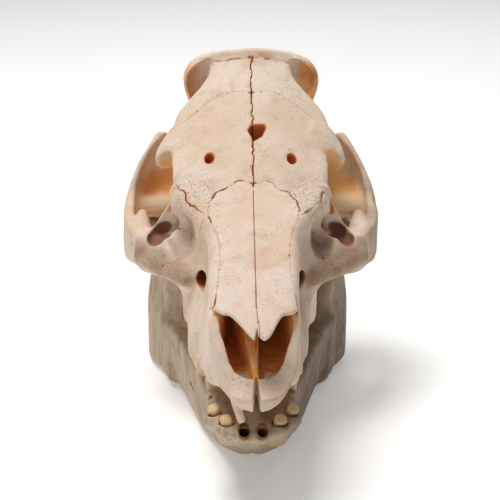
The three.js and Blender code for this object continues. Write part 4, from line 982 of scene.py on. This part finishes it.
def bone_finish(name, pale, warm, dull, painted_shade_colour, hole_shade_colour, pore_share, grain):
    """A bone's look: its colours, then how much of it has pores and how plain its grain is."""
    f = Finish(name)
    broad, middling, fine = f.cloud(38), f.cloud(9, 4), f.cloud(1.6, 4, 0.6)
    tint = f.blend(broad.between(0.38, 0.66), pale, warm)
    tint = f.blend(middling.between(0.5, 0.72) * 0.45, tint, dull)
    tint = f.blend(fine.between(0.35, 0.7) * 0.16, tint, GRIME)
    # Painted shade, in a darker colour, in the hollows and on the shaded side.
    tint = f.blend(f.mask("painted_shade") * (0.25 + 0.5 * middling), tint, painted_shade_colour)
    streaks = f.cloud(3.4, 4, 0.6, 7)
    tint = f.blend(streaks.between(0.45, 0.7) * grain, tint, dull)
    worn, pored = f.mask("worn"), f.mask("pored")
    tint = f.blend(worn * (0.4 + 0.8 * (middling - 0.2)), tint, WORN_BROWN)
    # Painted light: cream on the fossa's floor.
    tint = f.blend(f.mask("pale") * 0.9, tint, PAINTED_LIGHT_CREAM)
    pitted = f.cloud(17, 2).between(0.5 - pore_share, 0.62).larger(worn).larger(pored)
    pores = f.pits(2.1).between(0.2, 0.1) * pitted
    small_pores = f.pits(1.1).between(0.34, 0.14) * (pitted * 0.3 + pored * 0.7 + worn * 0.6)
    pores = pores.larger(small_pores)
    tint = f.blend(pores * 0.8, tint, PORE_BROWN)
    # Golden hollows: partly the bone's stain, partly painted shade and bounced light.
    hollow_stain_and_shade = (f.mask("hollow_stain_and_shade") + middling * 0.7 - 0.35).between(0.2, 0.8)
    tint = f.blend(hollow_stain_and_shade * 0.88, tint, f.blend(broad.between(0.35, 0.6), *GOLD_STAIN_AND_BOUNCED_LIGHT))
    seam = f.mask("seam") + middling * 0.9 - 0.45
    tint = f.blend(seam.between(0.25, 0.9) * 0.55, tint, SEAM_GLOW)
    tint = f.blend(seam.between(0.72, 1) * 0.85, tint, SEAM_LINE)
    # Painted light bounced in the thin bone, and painted shade, inside the nose.
    tint = f.blend(f.mask("nose_bounce_and_shade") * 0.95, tint, f.blend(f.cloud(6).between(0.35, 0.65), *NOSE_BOUNCED_LIGHT_AMBER))
    # Painted shade in the pit below the eye.
    tint = f.blend(f.mask("pit") * 0.95, tint, PAINTED_PIT_SHADE)
    # Real stains, and painted shade inside the holes, darkest in their depth.
    stain_and_hole_shade = f.mask("stain_and_hole_shade")
    tint = f.blend(stain_and_hole_shade.between(0.15, 0.75) * 0.7, tint, STAIN_AND_HOLE_RIM_SHADE)
    tint = f.blend(stain_and_hole_shade.between(0.6, 1) * 0.9, tint, hole_shade_colour)
    tooth = f.mask("tooth")
    tint = f.blend(tooth * 0.9, tint, f.blend(fine, *IVORY))
    f.feed(f.shader.inputs["Base Color"], tint)
    f.feed(f.shader.inputs["Roughness"], 0.56 + 0.18 * middling + 0.12 * seam.between(0.4, 1) - 0.2 * tooth)
    f.shader.inputs["Specular IOR Level"].default_value = 0.35
    relief = 0.5 * middling + 0.35 * fine + 0.5 * grain * streaks + 0.4 * worn * f.cloud(3, 4)
    f.bump(relief - 0.9 * pores - 0.3 * seam.between(0.6, 1), 0.0006, 0.6)
    return f.material


cranium_finish = bone_finish("cranium_bone", colour(229, 209, 191), colour(222, 196, 170),
                             colour(196, 170, 144), colour(138, 110, 90), PAINTED_HOLE_SHADE, -0.03, 0.12)
snout_finish = bone_finish("snout_bone", colour(233, 213, 197), colour(227, 200, 174),
                           colour(205, 178, 152), colour(140, 114, 94), PAINTED_HOLE_SHADE, -0.01, 0.12)
# The mandible's tones are darker and greyer than the cranium's, partly its own bone and partly painted
# shade.
jaw_finish = bone_finish("jaw_bone", colour(196, 177, 153), colour(180, 158, 131),
                         colour(138, 119, 95), colour(92, 70, 48), PAINTED_SOCKET_SHADOW, 0.04, 0.7)

head = Grid(cranium, *CRANIUM_BOX, CRANIUM_STEP)
bones, seams = parted(head)
finished = {}
for name, points, quads in bones:
    node = "parietal" if name.startswith("parietal") else name
    masks = cranium_marks(points, read(head, seams, points))
    if node in finished:
        other_points, other_quads, other_masks = finished[node]
        quads = np.concatenate((other_quads, quads + len(other_points)))
        points = np.concatenate((other_points, points))
        masks = {mask: np.concatenate((other_masks[mask], masks[mask])) for mask in masks}
    finished[node] = (points, quads, masks)
for node, (points, quads, masks) in finished.items():
    of_snout = node.startswith(("nasal", "premaxilla"))
    slot, finish = ("snout_bone", snout_finish) if of_snout else ("cranium_bone", cranium_finish)
    inner_faces = read(head, head.value, points[quads].mean(1)) < -SEAM_WALL_DEPTH * CRANIUM_STEP
    add_piece(node + "_bone", node, points, quads, masks, finish, inner_faces)

jaw = Grid(mandible, *JAW_BOX, JAW_STEP)
points, quads, _ = largest_body(*surface(jaw.value, jaw.low, JAW_STEP))
add_piece("lower_jaw", "mandible", points, quads, jaw_marks(points), jaw_finish)

# Camera, floor and light
CAMERA_PLACE = np.array((-16.98, -638.27, 312.56))
CAMERA_PITCH, CAMERA_YAW, CAMERA_ROLL = map(math.radians, (19, 1.148, 0.466))
CAMERA_LENS = 100.8
SENSOR_WIDTH = 36
SEES_TO = 20
FLOOR_HALF = 6
FLOOR_DROP = 0.0004
FLOOR_GLOW = 0.25
SKY_STRENGTH = 0.2
LAMP_AIM = Vector((0, 0, 0.08))
# Name, place, size and power.
LAMPS = (("key", (-0.42, 0.05, 1.6), 0.7, 20), ("front", (-0.6, -1.5, 0.9), 1, 1.9),
         ("back", (0.3, 1.2, 1.3), 1.2, 6))

camera_data = bpy.data.cameras.new("camera")
camera_data.lens = CAMERA_LENS
camera_data.sensor_width = SENSOR_WIDTH
camera_data.clip_end = SEES_TO
camera = bpy.data.objects.new("camera", camera_data)
bpy.context.scene.collection.objects.link(camera)
turn = Matrix.Rotation(-CAMERA_YAW, 4, "Z") @ Matrix.Rotation(math.radians(90) - CAMERA_PITCH, 4, "X")
turn = turn @ Matrix.Rotation(CAMERA_ROLL, 4, "Z")
camera.matrix_world = Matrix.Translation(Vector(CAMERA_PLACE / 1000 + ORIGIN)) @ turn
bpy.context.scene.camera = camera

floor_finish = Finish("pale_floor")
floor_finish.shader.inputs["Roughness"].default_value = 0.9
floor_tint = floor_finish.blend(floor_finish.cloud(400), colour(246, 245, 243), colour(243, 242, 240))
floor_finish.feed(floor_finish.shader.inputs["Base Color"], floor_tint)
floor_finish.shader.inputs["Emission Color"].default_value = (1, 1, 1, 1)
floor_finish.shader.inputs["Emission Strength"].default_value = FLOOR_GLOW
floor_mesh = bpy.data.meshes.new("floor")
corners = [(FLOOR_HALF * i, FLOOR_HALF * j, -FLOOR_DROP) for i, j in ((-1, -1), (1, -1), (1, 1), (-1, 1))]
floor_mesh.from_pydata(corners, [], [(0, 1, 2, 3)])
floor_mesh.materials.append(floor_finish.material)
floor = bpy.data.objects.new("floor", floor_mesh)
bpy.context.scene.collection.objects.link(floor)

for name, place, size, power in LAMPS:
    lamp_data = bpy.data.lights.new(name, "AREA")
    lamp_data.size = size
    lamp_data.energy = power
    lamp = bpy.data.objects.new(name, lamp_data)
    bpy.context.scene.collection.objects.link(lamp)
    aim = (LAMP_AIM - Vector(place)).to_track_quat("-Z", "Y")
    lamp.matrix_world = Matrix.Translation(Vector(place)) @ aim.to_matrix().to_4x4()

world = bpy.data.worlds.new("studio")
world.use_nodes = True
world.node_tree.nodes["Background"].inputs["Color"].default_value = (1, 1, 1, 1)
world.node_tree.nodes["Background"].inputs["Strength"].default_value = SKY_STRENGTH
bpy.context.scene.world = world
bpy.context.scene.view_settings.view_transform = "Standard"
